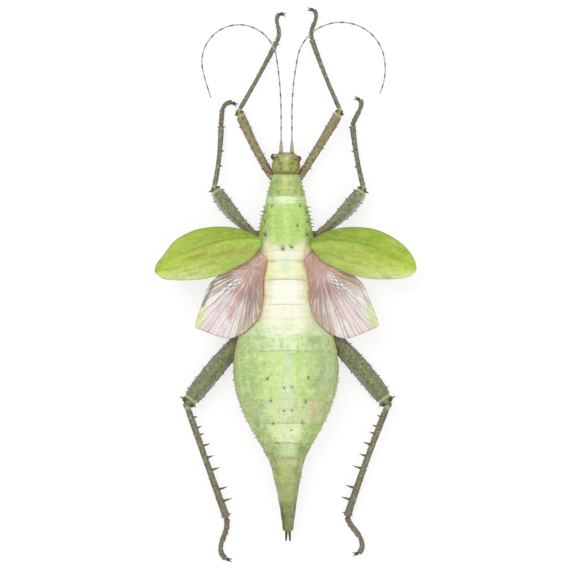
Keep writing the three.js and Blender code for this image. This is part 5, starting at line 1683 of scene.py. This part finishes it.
class BuildTrunk(bpy.types.Operator):
    """Build the trunk's plates, the soft skin between them, and the two halves of the tail's beak"""

    bl_idname = "nymph.trunk"
    bl_label = "Trunk and beak"

    def execute(self, context):
        skin = context.scene.nymph_skin
        material = trunk_material(skin)
        rears = [row[1] for row in PLATES[1:]] + [TAIL_FRONT]
        for (name, front, step, line), rear in zip(PLATES, rears):
            slot = PLATE_SLOTS.get(name, "abdomen_shell")
            plate_shape(name, front, rear, step, line, skin).build(f"plate_{name}", material, [name], slot)
        names = [row[0] for row in PLATES]
        membrane_shape().build("trunk_membrane", material, names, "pale_shell")
        half_gap = GAP / 4
        upper = beak_shape(TAIL["upper"], TAIL["split"] + half_gap, True)
        upper.build("beak_upper", material, ["epiproct"], "tail_shell")
        lower = beak_shape(TAIL["lower"], TAIL["split"] - half_gap, False)
        lower.build("beak_lower", material, ["operculum"], "tail_shell")
        return {"FINISHED"}


class BuildValves(bpy.types.Operator):
    """Build the two dark valves that stand out of the beak"""

    bl_idname = "nymph.valves"
    bl_label = "Tail valves"

    def execute(self, context):
        material = horn_material("chitin_valve_horny", *HORN_TINTS["valve"])
        for name, side in SIDES.items():
            valve_shape(side).build(f"tail_valve_{name}", material, [f"valve_{name}"], "claw")
        return {"FINISHED"}


class BuildHead(bpy.types.Operator):
    """Build the head capsule, the mouthparts and both eyes"""

    bl_idname = "nymph.head"
    bl_label = "Head"

    def execute(self, context):
        material = head_material(context.scene.nymph_skin)
        head_shape().build("head_capsule", material, ["head"], "head_shell")
        mouth_shape().build("mouth_and_palps", material, ["mouthparts"], "mouthparts")
        for name in SIDES:
            eye = eye_material(f"compound_eye_{name}", *EYE_TINTS[name])
            eye_shape(name).build(f"compound_eye_{name}", eye, [f"eye_{name}"], "eye")
        return {"FINISHED"}


class BuildFeelers(bpy.types.Operator):
    """Build both feelers"""

    bl_idname = "nymph.feelers"
    bl_label = "Feelers"

    def execute(self, context):
        material = feeler_material(context.scene.nymph_limbs)
        for name, side in SIDES.items():
            nodes = [f"antenna_{name}_{i}" for i in (1, 2, 3)]
            feeler_shape(name, side).build(f"feeler_{name}", material, nodes, "feeler")
        return {"FINISHED"}


class BuildLegs(bpy.types.Operator):
    """Build the six legs: coxa, femur, tibia, foot and claws of each"""

    bl_idname = "nymph.legs"
    bl_label = "Legs"

    def execute(self, context):
        limbs = context.scene.nymph_limbs
        finishes = {key: limb_material(limbs, *row) for key, row in LIMB_FINISHES.items()}
        finishes["claws"] = horn_material("chitin_claw_horny", *HORN_TINTS["claw"])
        seed = 100
        for leg_name, leg in LEGS.items():
            finishes["coxa"] = finishes["hip" if leg_name == "front" else "hind"]
            finishes["femur"] = finishes[leg_name]
            for name, side in SIDES.items():
                pose = leg[name]
                seed += 10
                made = {
                    "coxa": (coxa_shape(leg, pose, side), "thigh"),
                    "femur": (femur_shape(leg, pose, side, seed), "thigh"),
                    "tibia": (tibia_shape(leg, pose, side, seed + 3), "shin"),
                    "tarsus": (foot_shape(leg, pose, side, seed + 6), "shin"),
                    "claws": (claws_shape(leg, pose, side), "claw"),
                }
                for part, (shape, slot) in made.items():
                    tail = f"{leg_name}_{name}"
                    shape.build(f"leg_{tail}_{part}", finishes[part], [f"{part}_{tail}"], slot)
        return {"FINISHED"}


class BuildForewings(bpy.types.Operator):
    """Build both leathery forewings"""

    bl_idname = "nymph.forewings"
    bl_label = "Forewings"

    def execute(self, context):
        wings = context.scene.nymph_wings
        material = forewing_material(wings)
        for name, side in SIDES.items():
            shape = forewing_shape(name, side, wings)
            shape.build(f"wing_fore_{name}", material, [f"forewing_{name}"], "forewing")
        return {"FINISHED"}


class BuildHindwings(bpy.types.Operator):
    """Build both pleated hind wings"""

    bl_idname = "nymph.hindwings"
    bl_label = "Hind wings"

    def execute(self, context):
        wings = context.scene.nymph_wings
        material = hindwing_material(wings)
        for name, side in SIDES.items():
            shape = hindwing_shape(name, side, wings)
            shape.build(f"wing_hind_{name}", material, [f"hindwing_{name}"], "hindwing")
        return {"FINISHED"}


CAMERA_AIM = [-0.4, -0.4, 6]  # the point that the camera looks down on, in millimetres
SENSOR_WIDTH = 36  # the camera's, in millimetres
FAR_END = 20  # how far the camera sees, in metres
FLOOR_REACH = 2.5  # metres from the middle of the floor to each of its sides
# The lamps' places and widths in metres.
KEY_LAMP, FILL_LAMP = [(-0.7, 0.8, 1.5), 1.2], [(0.9, -0.5, 1.2), 1.4]
# The floor card: what it gives to the specimen, what the camera sees of its shade, and its glow.
CARD = {"given": "e6e6e4", "shaded": "9a9a9a", "glow": 0.74}
WHITE = (1, 1, 1, 1)


def area_lamp(name, power, place, width):
    """A square soft lamp that points at the specimen."""
    data = bpy.data.lights.new(name, "AREA")
    data.energy, data.size = power, width
    lamp = bpy.data.objects.new(name, data)
    lamp.location = place
    lamp.rotation_euler = (-lamp.location).to_track_quat("-Z", "Y").to_euler()
    bpy.context.scene.collection.objects.link(lamp)


def seen_rays(tree):
    """1 for what the camera sees, straight, in a gloss or through glass."""
    path = add(tree, "ShaderNodeLightPath").outputs
    seen = path["Is Camera Ray"]
    for ray in ("Is Glossy Ray", "Is Transmission Ray"):
        seen = add(tree, "ShaderNodeMath", {0: seen, 1: path[ray]}, operation="MAXIMUM").outputs[0]
    return seen


class BuildStage(bpy.types.Operator):
    """Set out the white floor, the soft lamps and the camera over the specimen"""

    bl_idname = "nymph.stage"
    bl_label = "Stage"

    def execute(self, context):
        scene, stage = context.scene, context.scene.nymph_stage
        mesh = bpy.data.meshes.new("floor")
        corners = [(x * FLOOR_REACH, y * FLOOR_REACH, 0) for x, y in ((-1, -1), (1, -1), (1, 1), (-1, 1))]
        mesh.from_pydata(corners, [], [(0, 1, 2, 3)])
        mesh.materials.append(self.floor_material())
        floor = bpy.data.objects.new("floor", mesh)
        scene.collection.objects.link(floor)

        self.set_world(scene, stage)
        area_lamp("key", stage.key_power, *KEY_LAMP)
        area_lamp("fill", stage.fill_power, *FILL_LAMP)

        data = bpy.data.cameras.new("camera")
        data.lens, data.sensor_width, data.clip_end = stage.lens, SENSOR_WIDTH, FAR_END
        camera = bpy.data.objects.new("camera", data)
        camera.location = ORIGIN + np.array(CAMERA_AIM) * MM
        camera.location.z += stage.frame_width * stage.lens / SENSOR_WIDTH
        scene.collection.objects.link(camera)
        scene.camera = camera
        scene.view_settings.view_transform = "Standard"
        return {"FINISHED"}

    @staticmethod
    def floor_material():
        """Matt white card: it glows white to the camera and still keeps a soft shadow."""
        material, tree = start_material("card_white_matt")
        card = add(tree, "ShaderNodeBsdfDiffuse", {"Color": linear(CARD["given"])}).outputs[0]
        glow = add(tree, "ShaderNodeEmission", {"Color": WHITE, "Strength": CARD["glow"]}).outputs[0]
        lit = add(tree, "ShaderNodeBsdfDiffuse", {"Color": linear(CARD["shaded"])}).outputs[0]
        white = add(tree, "ShaderNodeAddShader", {0: lit, 1: glow}).outputs[0]
        shown = add(tree, "ShaderNodeMixShader", {"Fac": seen_rays(tree), 1: card, 2: white}).outputs[0]
        add(tree, "ShaderNodeOutputMaterial", {"Surface": shown})
        return material

    @staticmethod
    def set_world(scene, stage):
        world = bpy.data.worlds.new("white_studio")
        scene.world = world
        world.use_nodes = True
        tree = world.node_tree
        tree.nodes.clear()
        sky = add(tree, "ShaderNodeBackground", {"Color": WHITE, "Strength": stage.sky}).outputs[0]
        white = add(tree, "ShaderNodeBackground", {"Color": WHITE, "Strength": 1.0}).outputs[0]
        shown = add(tree, "ShaderNodeMixShader", {"Fac": seen_rays(tree), 1: sky, 2: white}).outputs[0]
        add(tree, "ShaderNodeOutputWorld", {"Surface": shown})


OPERATORS = [BuildTrunk, BuildValves, BuildHead, BuildFeelers, BuildLegs, BuildForewings, BuildHindwings,
             BuildStage]


class SpecimenPanel(bpy.types.Panel):
    """Lists the pieces and their settings in the sidebar"""

    bl_idname = "VIEW3D_PT_nymph"
    bl_label = "Jungle nymph"
    bl_space_type = "VIEW_3D"
    bl_region_type = "UI"
    bl_category = "Specimen"

    def draw(self, context):
        for operator in OPERATORS:
            self.layout.operator(operator.bl_idname)
        for key, group in GROUPS.items():
            box = self.layout.box()
            for name in group.__annotations__:
                box.prop(getattr(context.scene, key), name)


CLASSES = [*GROUPS.values(), *OPERATORS, SpecimenPanel]


def register():
    for cls in CLASSES:
        bpy.utils.register_class(cls)
    for key, group in GROUPS.items():
        setattr(bpy.types.Scene, key, PointerProperty(type=group))


def unregister():
    for key in GROUPS:
        delattr(bpy.types.Scene, key)
    for cls in reversed(CLASSES):
        bpy.utils.unregister_class(cls)


def main():
    register()
    for operator in OPERATORS:
        area, name = operator.bl_idname.split(".")
        getattr(getattr(bpy.ops, area), name)()


if __name__ == "__main__":
    main()
